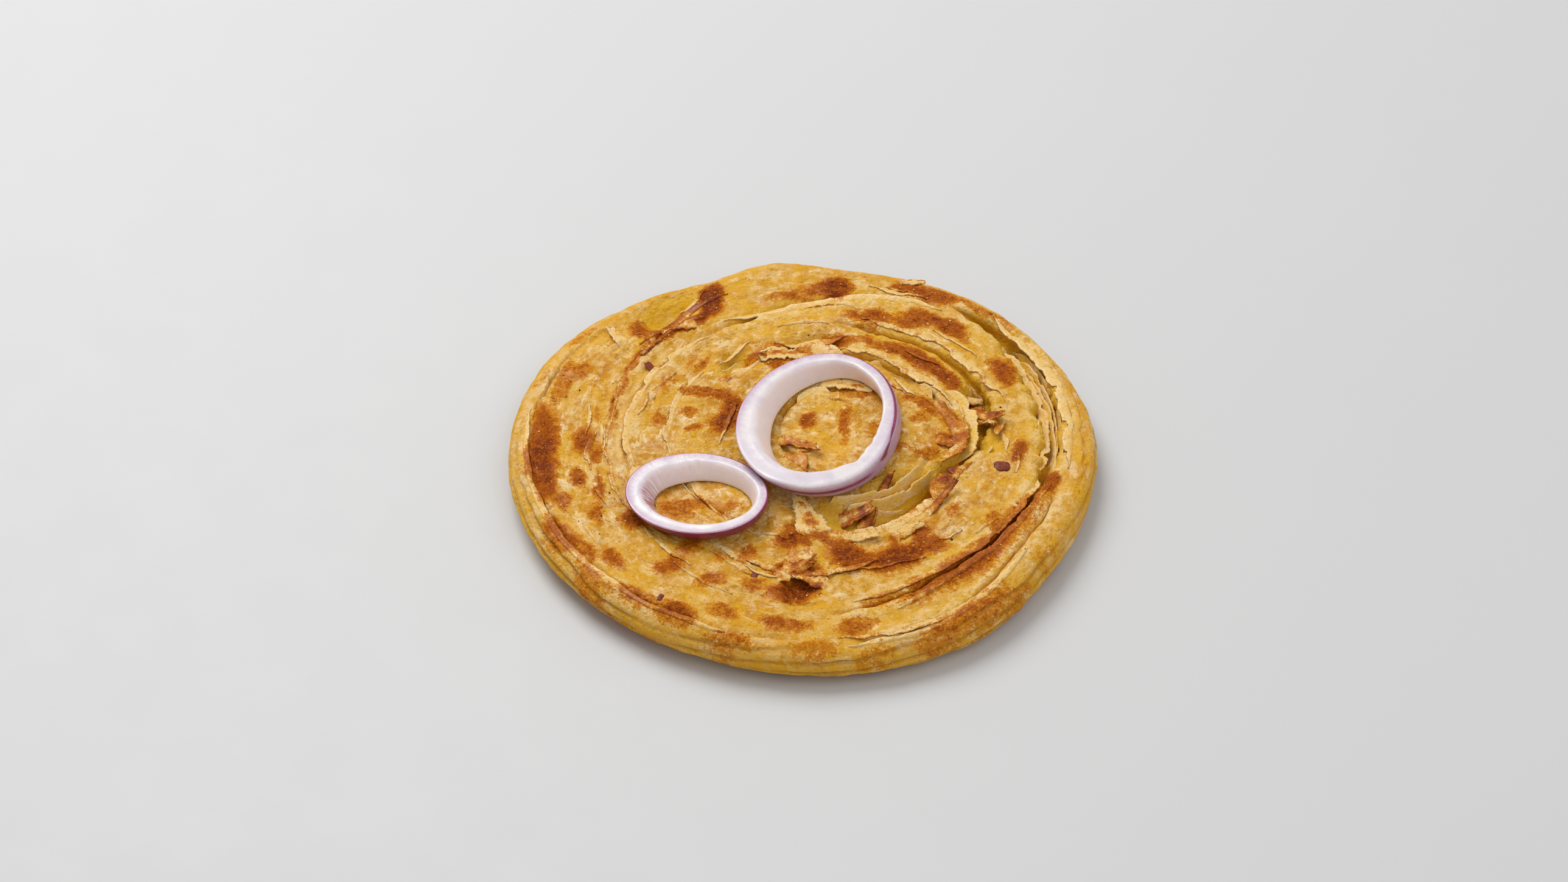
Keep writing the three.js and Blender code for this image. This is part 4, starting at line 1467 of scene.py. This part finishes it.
class PARATHA_OT_onion(bpy.types.Operator):
    """Models the two slices of red onion: rounded bands bent to lie as the solid ones do"""

    bl_idname = "paratha.onion"
    bl_label = "Onion rings"

    def execute(self, context):
        sizes = context.scene.paratha_sizes
        material = onion_material(context.scene.paratha_colours)
        for number, (name, ring) in enumerate(RINGS.items()):
            deselect()
            bpy.ops.mesh.primitive_torus_add(
                major_segments=sizes.ring_steps,
                minor_segments=sizes.ring_loops,
                major_radius=1,
                minor_radius=0.25,
            )
            band = context.active_object
            self.shape(band, name, ring, 200 + 40 * number)
            face_outwards(band)
            finish_piece(band, name.replace("onion_ring", "onion_slice"), material, "onion", name)
        return {"FINISHED"}

    def shape(self, band, name, ring, seed):
        """Turns the round band into the slice, and paints its masks."""
        co = coordinates(band)
        around = np.arctan2(co[:, 1], co[:, 0])
        side = np.arctan2(co[:, 2], np.hypot(co[:, 0], co[:, 1]) - 1)
        out, up = (np.sign(f(side)) * np.abs(f(side)) ** 0.42 for f in (np.cos, np.sin))
        outer = ring_outline(ring, around)[0]
        key = np.stack((np.cos(around), np.sin(around)), -1) * ring["half"]
        face = ring_face(ring, outer) + 0.28 * noise(key, 9.0, seed, 3)
        for angle, length, depth in ring["chips"]:
            off = np.mod(np.degrees(around) - angle + 180, 360) - 180
            notch = bell(np.radians(off) * 22, length * 0.8)
            notch = notch + 0.5 * bell(np.radians(off - 9) * 22, length * 0.5)
            face = face - depth * notch * (up > 0.2)
        inset = face * (1 - out) / 2
        share = (1 + up) / 2
        # the outside swells a little and the inside is dished
        inset = inset - 0.45 * (1 - up**2) * (out > 0) + 0.25 * (1 - up**2) * (out < 0)
        xy = ring_place(ring, around, inset, share)
        z = ring_level(ring_bottoms(name), around, inset / face) - RING_SETTLE + ring["height"] * share
        flat = smooth(0.55, 1, up)
        z = z + flat * (0.22 * noise(key, 7.0, seed + 3, 2) - 0.32 * bell(out, 0.5))
        put_coordinates(band, np.concatenate((xy - SHIFT, z[:, None]), -1) * MM)
        outside = smooth(0.2, 0.9, out) * (1 - flat)
        bare = np.clip(inset, 0, None)
        facing = -outer[:, 1] / np.hypot(outer[:, 0], outer[:, 1])
        skin_starts = -0.2 + ring["peeled"] * smooth(0.1, 0.9, facing)
        down = np.where(flat > 0.5, -bare, (1 - share) * ring["height"]) * (out > 0)
        line = np.exp(-(((down - skin_starts) / 0.62) ** 2)) * (out > 0.2)
        below = outside * smooth(skin_starts - 0.2, skin_starts + 0.4, down)
        put_mask(band, "skin", np.maximum(line, ring["skin"] * below))
        shade = np.exp(-np.clip(skin_starts - down, 0, None) / 2.1)
        near_skin = np.maximum(shade * (out > 0), 0.9 * below) + np.exp(-bare / 1.5) * (out <= 0)
        put_mask(band, "near_skin", near_skin)
        put_mask(band, "wall", smooth(0.1, 0.8, -out) * (1 - flat))
        left = bell(np.mod(np.degrees(np.arctan2(outer[:, 1], outer[:, 0])) - 196 + 180, 360) - 180, 38)
        put_mask(band, "blush", left * smooth(0.1, 0.9, -out) * (1 - flat) * (name == "onion_ring_small"))
        put_mask(band, "fibre_x", key[:, 0] * 1.6)
        put_mask(band, "fibre_y", key[:, 1] * 1.6)
        put_mask(band, "depth", share * 1.2)


# ---------------------------------------------------------------- layers, scraps and crumbs


def skin_height(xy):
    """The finished height of the bread's top at these places, and how browned it is, with painted shade on
    the deepest pockets' floors.
    """
    angle, radius = polar(xy)
    top = bread_top(xy)
    share = radius / outline_radius(angle)
    crown = top["height"] + rim_lift(angle) * smooth(0.72, 1, share)
    edge = EDGE_HEIGHT + rim_lift(angle)
    into = np.clip((share - (1 - EDGE_SHARE)) / EDGE_SHARE, 0, 1)
    return edge + (crown - edge) * np.sqrt(1 - into**2), top["heat_and_shade"]


def leaf_material(colours, groups):
    """The thin layers: oily, pale at their torn edges, and browned where they stood up."""
    material, n = new_material("thin_layers")
    place = n.add("ShaderNodeTexCoord").outputs["Object"]
    grain = group_node(n, groups["grain"], Vector=place, Fineness=1.2)
    inner = mask(n, "inner")
    leaf_pale = colour(colours.leaf_pale)
    pale = n.mix(n.ramp(grain.outputs["Mottle"], 0.40, 0.62), colour(colours.dough_cream), leaf_pale)
    yellow = n.mix(n.ramp(n.noise(place, 240, 3, 0.6), 0.4, 0.62), colour(colours.leaf_yellow), leaf_pale)
    dough = n.mix(inner, pale, yellow)
    tip = n.math("MULTIPLY", mask(n, "tip"), n.ramp(n.noise(place, 500, 3, 0.6), 0.36, 0.56))
    tip = n.math("MULTIPLY", tip, n.math("SUBTRACT", 0.85, n.math("MULTIPLY", inner, 0.5)))
    dough = n.mix(tip, dough, colour(colours.dough_white))
    browned = browned_dough(n, groups, colours, place, dough)
    normal = bump(n, grain.outputs["Height"], 0.0006, 0.8)
    coat = n.math("MULTIPLY", grain.outputs["Oil"], 0.3)
    rough = n.ramp(grain.outputs["Mottle"], 0.3, 0.7, 0.42, 0.58)
    principled(n, browned.outputs["Color"], rough, normal, coat, scatter=0.1, scale=0.0005, shine=0.2)
    return material


def joined_grids(sizes):
    """Flat grids of these sizes as one piece, with each vertex's grid and its place along and across it."""
    sheets = []
    for number, (columns, rows) in enumerate(sizes):
        deselect()
        bpy.ops.mesh.primitive_grid_add(x_subdivisions=columns, y_subdivisions=rows, size=2)
        sheet = bpy.context.active_object
        co = coordinates(sheet)
        co[:, 2] = number
        put_coordinates(sheet, co)
        sheets.append(sheet)
    piece = joined(sheets)
    co = coordinates(piece)
    return piece, np.rint(co[:, 2]).astype(int), (co[:, 0] + 1) / 2, (co[:, 1] + 1) / 2


def shape_leaves(leaves, rows):
    """Ragged sheets growing from their roots along the turns, each with its own width, tilt and curl."""
    spans = [leaf[0][-1][0] - leaf[0][0][0] for leaf in leaves]
    lengths = [math.radians(span) * leaf[0][0][1] for span, leaf in zip(spans, leaves)]
    piece, which, u, v = joined_grids([(int(np.clip(length / 0.55, 16, 130)), rows) for length in lengths])
    angle = np.array([leaf[0][0][0] for leaf in leaves])[which] + u * np.array(spans)[which]
    radius, rise, width, tilt = (np.zeros_like(u) for _ in range(4))
    for number, leaf in enumerate(leaves):
        here = which == number
        values = along(leaf[0], angle[here])[0]
        radius[here], rise[here], width[here], tilt[here] = np.moveaxis(values, -1, 0)
    outwards, ragged, curl, brown = np.array([leaf[1:] for leaf in leaves], float).T[:, which]
    key = np.stack((which * 11.0, np.radians(angle) * radius), -1)
    radius = radius + (0.2 + 0.6 * ragged) * noise(key, 9.0, 101, 2)
    span = np.array(spans)[which]
    ends = np.clip(np.minimum(u, 1 - u) * span / np.minimum(7, 0.3 * span), 0, 1)
    torn = 1 + ragged * (0.5 * noise(key, 8.0, 105, 2) + 0.35 * noise(key, 1.9, 107, 3, 0.7))
    torn = torn - 0.8 * ragged * smooth(0.3, 0.6, noise(key, 6.0, 109))
    reach = v * np.maximum(width * smooth(0, 1, ends) * torn, 0.1)
    lean = np.radians(tilt + curl * v / 2 + 10 * ragged * noise(key, 8.0, 113, 2) * v)
    xy = from_polar(angle, radius + outwards * reach * np.cos(lean))
    surface, heat_and_shade = skin_height(xy)
    root = skin_height(from_polar(angle, radius))[0]
    for number in range(len(leaves)):
        here = which == number
        root[here] = np.polyval(np.polyfit(u[here], root[here], 5), u[here])
    free = root + reach * np.sin(lean) + rise
    lying = rise > -0.5
    draped = np.maximum(free, surface + 0.16 + 0.2 * v + np.clip(rise, 0, None))
    draped = draped - 0.6 * (1 - smooth(0, 0.22, v))
    z = np.where(lying, draped, free) + 0.12 * v * noise(xy, 1.8, 117, 2)
    z = np.minimum(np.maximum(z, LOWEST_LAYER), room_under_rings(xy))
    put_coordinates(piece, np.concatenate((xy - SHIFT, z[:, None]), -1) * MM)
    taken = brown * (0.55 + 0.5 * v + 0.6 * noise(xy, 5.0, 121, 2))
    put_mask(piece, "browning_and_shade", np.clip(np.maximum(taken, np.where(lying, 0.85 * heat_and_shade, 0)), 0, 1.1))
    put_mask(piece, "tip", smooth(0.55, 1.0, v))
    put_mask(piece, "inner", smooth(0.2, 1.2, -rise) + 0.25)
    return piece


def scattered_leaves(random, count):
    """Short low leaves all over the top, lying along the turns."""
    tries = count * 4
    angle, radius = random.uniform(0, 360, tries), np.sqrt(random.uniform(0.03, 0.82, tries)) * 88
    free = (radius < outline_radius(angle) * 0.9) & uncovered(from_polar(angle, radius))
    leaves = []
    for a, r in zip(angle[free][:count], radius[free][:count]):
        half = random.uniform(3.5, 12) / r * DEGREES_IN_RADIAN
        width, tilt, drift = random.uniform(0.8, 1.7), random.uniform(1, 5), random.uniform(-1.2, 1.2)
        path = (
            (a - half, r - drift, 0, width * 0.7, tilt),
            (a, r, 0, width, tilt + 2),
            (a + half, r + drift, 0, width * 0.6, tilt),
        )
        leaves.append((path, random.choice((-1, 1)), 0.6, random.uniform(-4, 6), random.uniform(0, 0.35)))
    return leaves


class PARATHA_OT_leaves(bpy.types.Operator):
    """Models the thin layers along the turns: ragged ribbons given a thickness and joined into one piece"""

    bl_idname = "paratha.leaves"
    bl_label = "Thin layers"

    def execute(self, context):
        sizes = context.scene.paratha_sizes
        leaves = LEAVES + tuple(scattered_leaves(seeded(11), sizes.short_leaves))
        piece = shape_leaves(leaves, 6)
        apply_modifier(piece, "SOLIDIFY", thickness=sizes.leaf_thickness, offset=0)
        face_outwards(piece)
        material = leaf_material(context.scene.paratha_colours, shared_groups())
        finish_piece(piece, "thin_layers", material, "bread")
        return {"FINISHED"}


def shape_scraps(scraps):
    """Torn flaps standing up from their roots."""
    piece, which, u, v = joined_grids([(int(s[3] * 2.2), int(np.clip(s[4] * 2, 6, 18))) for s in scraps])
    v = v * 2 - 1
    x, y, heading, length, width, rise, narrow, brown, middle = np.array(scraps, float).T[:, which]
    side = np.stack((which * 9.0 + np.sign(v) * 3, u * length), -1)
    rim = np.stack((which * 9.0 + v * width * 0.5, u * length), -1)
    half = width / 2 * (1 - narrow * u**1.4) * (0.72 + 0.28 * smooth(0, 0.3, u))
    half = half * (1 + 0.5 * noise(side, 1.8, 131, 4, 0.7))
    reach = u * length * (1 + 0.16 * noise(np.stack((which * 7.0, v * width), -1), 1.6, 135, 3) * u)
    bend = 0.12 * length * np.sin(which * 1.7) * u**2
    a = np.radians(heading)
    ahead, aside = np.stack((np.cos(a), np.sin(a)), -1), np.stack((-np.sin(a), np.cos(a)), -1)
    root = np.stack((x, y), -1)
    xy = root + reach[:, None] * ahead + (v * half + bend)[:, None] * aside
    surface, heat_and_shade = skin_height(xy)
    starts = np.array([s[:2] for s in scraps], float)
    headings = np.radians([s[2] for s in scraps])
    lengths = np.array([s[3] for s in scraps])[:, None]
    tips = starts + np.stack((np.cos(headings), np.sin(headings)), -1) * lengths
    first, last = skin_height(starts)[0][which], skin_height(tips)[0][which]
    cup = 0.09 * width * v**2 * np.where(which % 3, 1, -1) * smooth(0, 0.5, u)
    lift = rise * u**1.25 + cup + 0.5 * noise(rim, 2.6, 139, 4, 0.65)
    z = np.maximum(first + (last - first) * u + lift, surface + 0.3 + 0.3 * u)
    z = np.minimum(z - 0.9 * (1 - smooth(0, 0.16, u)), room_under_rings(xy))
    put_coordinates(piece, np.concatenate((xy - SHIFT, z[:, None]), -1) * MM)
    across = np.where(middle > 0, 1 - smooth(0.15, 0.8, np.abs(v)), 0.75 + 0.25 * np.abs(v))
    taken = brown * across * (0.84 + 0.9 * noise(xy, 2.2, 143, 3)) * smooth(-0.05, 0.25, u)
    put_mask(piece, "browning_and_shade", np.clip(np.maximum(taken, 0.6 * heat_and_shade * (1 - smooth(0, 0.5, u))), 0, 1.1))
    put_mask(piece, "tip", np.maximum(smooth(0.8, 1, u), smooth(0.7, 1, np.abs(v))) * (1 - 0.4 * brown))
    put_mask(piece, "inner", np.full_like(u, 0.25))
    return piece


class PARATHA_OT_scraps(bpy.types.Operator):
    """Models the torn flaps that stand up from the turns: curled sheets given a thickness and joined"""

    bl_idname = "paratha.scraps"
    bl_label = "Torn flaps"

    def execute(self, context):
        piece = shape_scraps(SCRAPS)
        thickness = context.scene.paratha_sizes.leaf_thickness * 1.3
        apply_modifier(piece, "SOLIDIFY", thickness=thickness, offset=0)
        face_outwards(piece)
        material = leaf_material(context.scene.paratha_colours, shared_groups())
        finish_piece(piece, "torn_flaps", material, "bread")
        return {"FINISHED"}


def chips(count, subdivisions):
    """Many small balls in one mesh: the piece, and each vertex's ball and place on the unit ball."""
    bpy.ops.mesh.primitive_ico_sphere_add(subdivisions=subdivisions, radius=1)
    piece = bpy.context.active_object
    unit = coordinates(piece)
    apply_modifier(piece, "ARRAY", count=count, use_relative_offset=False, use_constant_offset=True)
    return piece, np.repeat(np.arange(count), len(unit)), np.tile(unit, (count, 1))


def lay_chips(piece, which, unit, spots, size, flat, seed):
    """Lays each ball on the bread as a flake: size is length and width, flat its thickness as a share."""
    random = seeded(seed)
    turn = random.uniform(0, 2 * math.pi, len(spots))[which]
    boxy = np.sign(unit) * np.abs(unit) ** 0.55
    boxy = boxy * (1 + 0.3 * noise(unit + which[:, None] * 3.0, 0.9, seed + 1, 2))[:, None]
    x, y = boxy[:, 0] * size[which, 0] / 2, boxy[:, 1] * size[which, 1] / 2
    xy = np.stack((x * np.cos(turn) - y * np.sin(turn), x * np.sin(turn) + y * np.cos(turn)), -1)
    level = skin_height(spots)[0]
    thick = size[:, 1] * flat
    tip = random.uniform(-0.25, 0.25, (len(spots), 2))[which]
    z = level[which] + thick[which] * (0.25 + 0.5 * boxy[:, 2]) + (xy * tip).sum(-1)
    put_coordinates(piece, np.concatenate((spots[which] + xy - SHIFT, z[:, None]), -1) * MM)


def speck_material(name, dark, light, rough, coat):
    """Two tones of one colour in a fine grain, for flakes and crumbs."""
    material, n = new_material(name)
    place = n.add("ShaderNodeTexCoord").outputs["Object"]
    base = n.mix(n.ramp(n.noise(place, 1400, 3, 0.6), 0.38, 0.62), colour(dark), colour(light))
    normal = bump(n, n.noise(place, 2200, 3, 0.6), 0.0002, 0.6)
    roughness = n.ramp(n.noise(place, 900, 2, 0.5), 0.3, 0.7, rough, rough + 0.15)
    principled(n, base, roughness, normal, coat, shine=0.25)
    return material


class PARATHA_OT_chilli(bpy.types.Operator):
    """Lays the dark red chilli flakes on the bread"""

    bl_idname = "paratha.chilli"
    bl_label = "Chilli flakes"

    def execute(self, context):
        colours = context.scene.paratha_colours
        deselect()
        flakes = np.array(CHILLI)
        piece, which, unit = chips(len(flakes), 3)
        lay_chips(piece, which, unit, flakes[:, :2], flakes[:, 2:4], 0.34, 151)
        face_outwards(piece)
        material = speck_material("dried_chilli", colours.chilli_dark, colours.chilli_red, 0.45, 0.1)
        finish_piece(piece, "chilli_flakes", material, "bread")
        return {"FINISHED"}


class PARATHA_OT_crumbs(bpy.types.Operator):
    """Scatters brown crumbs where the bread is browned, pale ones all over, and a few burnt specks"""

    bl_idname = "paratha.crumbs"
    bl_label = "Crumbs"

    def execute(self, context):
        sizes, colours = context.scene.paratha_sizes, context.scene.paratha_colours
        for name, count, low, high, chosen, dark, light, seed in (
            ("crisp_crumbs", sizes.crumbs, 0.35, 1.0, 0.35, colours.heat_brown, colours.heat_gold, 161),
            ("pale_crumbs", sizes.crumbs, 0.3, 0.8, -1.0, colours.dough_tan, colours.dough_cream, 171),
            ("burnt_specks", sizes.specks, 0.35, 0.75, -1.0, BURNT_DARK, BURNT_LIGHT, 181),
        ):
            deselect()
            random = seeded(seed)
            spots = self.spots(random, count, chosen)
            length = random.uniform(low, high, count)
            size = np.stack((length, length * random.uniform(0.55, 1, count)), -1)
            piece, which, unit = chips(count, 2)
            lay_chips(piece, which, unit, spots, size, 0.45, seed)
            face_outwards(piece)
            finish_piece(piece, name, speck_material(name, dark, light, 0.5, 0.1), "bread")
        return {"FINISHED"}

    def spots(self, random, count, least_heat):
        """Random places on the top that are at least this browned, clear of the onion."""
        angle = random.uniform(0, 360, count * 30)
        radius = np.sqrt(random.uniform(0.002, 0.88, count * 30)) * outline_radius(angle)
        xy = from_polar(angle, radius)
        good = uncovered(xy) & (heat_at(xy) > least_heat)
        return xy[good][:count]


# ---------------------------------------------------------------- the stage


class PARATHA_OT_stage(bpy.types.Operator):
    """Adds the pale table, the soft lights and the camera"""

    bl_idname = "paratha.stage"
    bl_label = "Table, light and camera"

    def execute(self, context):
        look = context.scene.paratha_stage
        deselect()
        bpy.ops.mesh.primitive_grid_add(x_subdivisions=40, y_subdivisions=40, size=6, location=(0, 0, 0))
        table = context.active_object
        table.name = "table"
        material, n = new_material("pale_table")
        place = n.add("ShaderNodeTexCoord").outputs["Object"]
        tone = n.ramp(n.noise(place, 3, 3, 0.5), 0.3, 0.7)
        base = n.mix(tone, colour([0.985 * c for c in look.table]), colour(look.table))
        rough = n.ramp(n.noise(place, 40, 3, 0.5), 0.3, 0.7, 0.55, 0.6)
        principled(n, base, rough, bump(n, n.noise(place, 900, 3, 0.6), 0.0001, 0.1))
        table.data.materials.append(material)
        self.add_light("key", (-0.55, 0.75, 1.25), 1.1, look.key_power)
        self.add_light("fill", (0.9, -0.5, 1.3), 1.5, look.fill_power)
        world = bpy.data.worlds.new("soft_room")
        world.use_nodes = True
        background = world.node_tree.nodes["Background"]
        background.inputs["Color"].default_value = (1, 1, 1, 1)
        background.inputs["Strength"].default_value = look.room_light
        context.scene.world = world
        context.scene.view_settings.view_transform = "Standard"
        self.add_camera(context, look)
        return {"FINISHED"}

    def add_light(self, name, place, size, power):
        """A round soft light at this place, facing the bread."""
        bpy.ops.object.light_add(type="AREA", location=place)
        lamp = bpy.context.active_object
        lamp.name = name
        lamp.data.shape = "DISK"
        lamp.data.size = size
        lamp.data.energy = power
        lamp.rotation_euler = (-Vector(place)).to_track_quat("-Z", "Y").to_euler()

    def add_camera(self, context, look):
        """The camera, aimed so that the bread lies a little right of the middle and a little below it."""
        elevation = look.elevation
        target = Vector((0, 0, CROWN_HEIGHT * MM)) - Vector((SHIFT[0], SHIFT[1], 0)) * MM
        backward = Vector((0, -math.cos(elevation), math.sin(elevation)))
        bpy.ops.object.camera_add(location=target + backward * look.distance)
        camera = context.active_object
        turn = (-backward).to_track_quat("-Z", "Y").to_matrix() @ Matrix.Rotation(look.roll, 3, "Z")
        camera.data.lens = look.lens
        camera.data.sensor_width = SENSOR_WIDTH
        aim_x = math.atan2(look.aside * SENSOR_WIDTH, look.lens)
        aim_y = math.atan2(look.below * SENSOR_WIDTH, look.lens)
        turn = turn @ Matrix.Rotation(aim_x, 3, "Y") @ Matrix.Rotation(aim_y, 3, "X")
        camera.rotation_euler = turn.to_euler()
        camera.data.clip_start = 0.01
        context.scene.camera = camera


# ---------------------------------------------------------------- what a user would change


def measure(name, description, kind, default):
    """A measure with Blender's own unit or subtype for it."""
    units = {"unit": kind} if kind in ("LENGTH", "CAMERA", "POWER") else {"subtype": kind}
    return FloatProperty(name=name, description=description, default=default, precision=5, **units)


def tint(name, description, default):
    return FloatVectorProperty(name=name, description=description, subtype="COLOR", default=default)


class ParathaSizes(bpy.types.PropertyGroup):
    sectors: IntProperty(name="Sectors", description="Steps round the bread", default=512, min=64)
    top_rings: IntProperty(name="Rings", description="Steps from the eye to the edge", default=146, min=24)
    ring_steps: IntProperty(name="Onion steps", description="Steps round a slice", default=220, min=48)
    ring_loops: IntProperty(name="Onion loops", description="Steps round its section", default=36, min=12)
    leaf_thickness: measure("Leaf thickness", "How thick a layer is", "LENGTH", 0.0004)
    short_leaves: IntProperty(name="Short leaves", description="Small layers on the top", default=44, min=0)
    crumbs: IntProperty(name="Crumbs", description="Crumbs of each kind", default=260, min=1)
    specks: IntProperty(name="Specks", description="Burnt specks", default=26, min=1)


class ParathaColours(bpy.types.PropertyGroup):
    dough_cream: tint("Cream dough", "Pressed dough", (0.765, 0.47, 0.135))
    dough_tan: tint("Tan dough", "Dough that has taken some colour", (0.58, 0.26, 0.018))
    dough_white: tint("Flour white", "Thin leaf edges and chalky grain", (0.91, 0.71, 0.40))
    # also the painted shade in the rim's creases
    dough_gold: tint("Golden dough", "Stains of oil and heat", (0.56, 0.205, 0.006))
    dough_yellow: tint("Yellow dough", "Smooth oily dough", (0.74, 0.39, 0.025))
    # also the colour of the painted shade on the furrows' sides
    open_yellow: tint("Open yellow", "Walls of the openings", (0.76, 0.44, 0.035))
    # darker, as painted shade on the openings' floors
    open_olive_shade: tint("Open olive", "Floors of the openings", (0.64, 0.33, 0.012))
    leaf_pale: tint("Pale layer", "Thin layers", (0.80, 0.55, 0.22))
    leaf_yellow: tint("Yellow layer", "Thin layers down in the openings", (0.80, 0.48, 0.065))
    onion_flesh: tint("Onion flesh", "Cut face", (0.80, 0.74, 0.74))
    onion_lilac: tint("Onion lilac", "Tint in the cut face", (0.71, 0.64, 0.69))
    onion_wall: tint("Onion wall", "Inner wall", (0.84, 0.69, 0.64))
    onion_purple: tint("Onion purple", "Flesh beside the skin", (0.42, 0.22, 0.38))
    onion_magenta: tint("Onion magenta", "Streaks and skin", (0.34, 0.045, 0.13))
    onion_skin: tint("Onion skin", "Thin outer skin", (0.22, 0.022, 0.07))
    chilli_dark: tint("Chilli, dark", "Dried chilli", (0.13, 0.02, 0.006))
    chilli_red: tint("Chilli, red", "Dried chilli", (0.26, 0.045, 0.012))
    heat_gold: tint("Gold", "Halo of a browned patch", (0.58, 0.21, 0.008))
    heat_brown: tint("Brown", "A browned patch", (0.39, 0.092, 0.003))
    heat_scorched: tint("Scorched", "The darkest patches", (0.19, 0.030, 0.002))


class ParathaStage(bpy.types.PropertyGroup):
    elevation: measure("Elevation", "How steeply the camera looks down", "ANGLE", math.radians(43.7))
    roll: measure("Roll", "The camera's lean", "ANGLE", math.radians(1.0))
    distance: measure("Distance", "From the bread's middle", "LENGTH", 0.902)
    lens: measure("Lens", "Focal length", "CAMERA", 68.6)
    aside: FloatProperty(name="Aside", description="Right of the middle, in frame widths", default=0.0121)
    below: FloatProperty(name="Below", description="Below the middle, in frame widths", default=0.0104)
    table: tint("Table", "The table's colour", (0.62, 0.62, 0.62))
    key_power: measure("Key light", "Power of the key light", "POWER", 17)
    fill_power: measure("Fill light", "Power of the fill light", "POWER", 5)
    room_light: FloatProperty(name="Room light", description="Brightness of the room", default=0.48)


class PARATHA_PT_panel(bpy.types.Panel):
    """The paratha's sizes and colours, and the pieces that it is made of"""

    bl_idname = "PARATHA_PT_panel"
    bl_label = "Paratha"
    bl_space_type = "VIEW_3D"
    bl_region_type = "UI"
    bl_category = "Paratha"

    def draw(self, context):
        layout = self.layout
        scene = context.scene
        for group in (scene.paratha_sizes, scene.paratha_colours, scene.paratha_stage):
            box = layout.box()
            for name in group.__annotations__:
                box.prop(group, name)
        for operator in PIECES:
            layout.operator(operator.bl_idname)


PIECES = (
    PARATHA_OT_bread,
    PARATHA_OT_leaves,
    PARATHA_OT_scraps,
    PARATHA_OT_onion,
    PARATHA_OT_chilli,
    PARATHA_OT_crumbs,
    PARATHA_OT_stage,
)
CLASSES = (ParathaSizes, ParathaColours, ParathaStage) + PIECES + (PARATHA_PT_panel,)


def register():
    for cls in CLASSES:
        bpy.utils.register_class(cls)
    bpy.types.Scene.paratha_sizes = PointerProperty(type=ParathaSizes)
    bpy.types.Scene.paratha_colours = PointerProperty(type=ParathaColours)
    bpy.types.Scene.paratha_stage = PointerProperty(type=ParathaStage)


def unregister():
    del bpy.types.Scene.paratha_sizes
    del bpy.types.Scene.paratha_colours
    del bpy.types.Scene.paratha_stage
    for cls in reversed(CLASSES):
        bpy.utils.unregister_class(cls)


def main():
    register()
    bpy.ops.paratha.bread()
    bpy.ops.paratha.leaves()
    bpy.ops.paratha.scraps()
    bpy.ops.paratha.onion()
    bpy.ops.paratha.chilli()
    bpy.ops.paratha.crumbs()
    bpy.ops.paratha.stage()


if __name__ == "__main__":
    main()
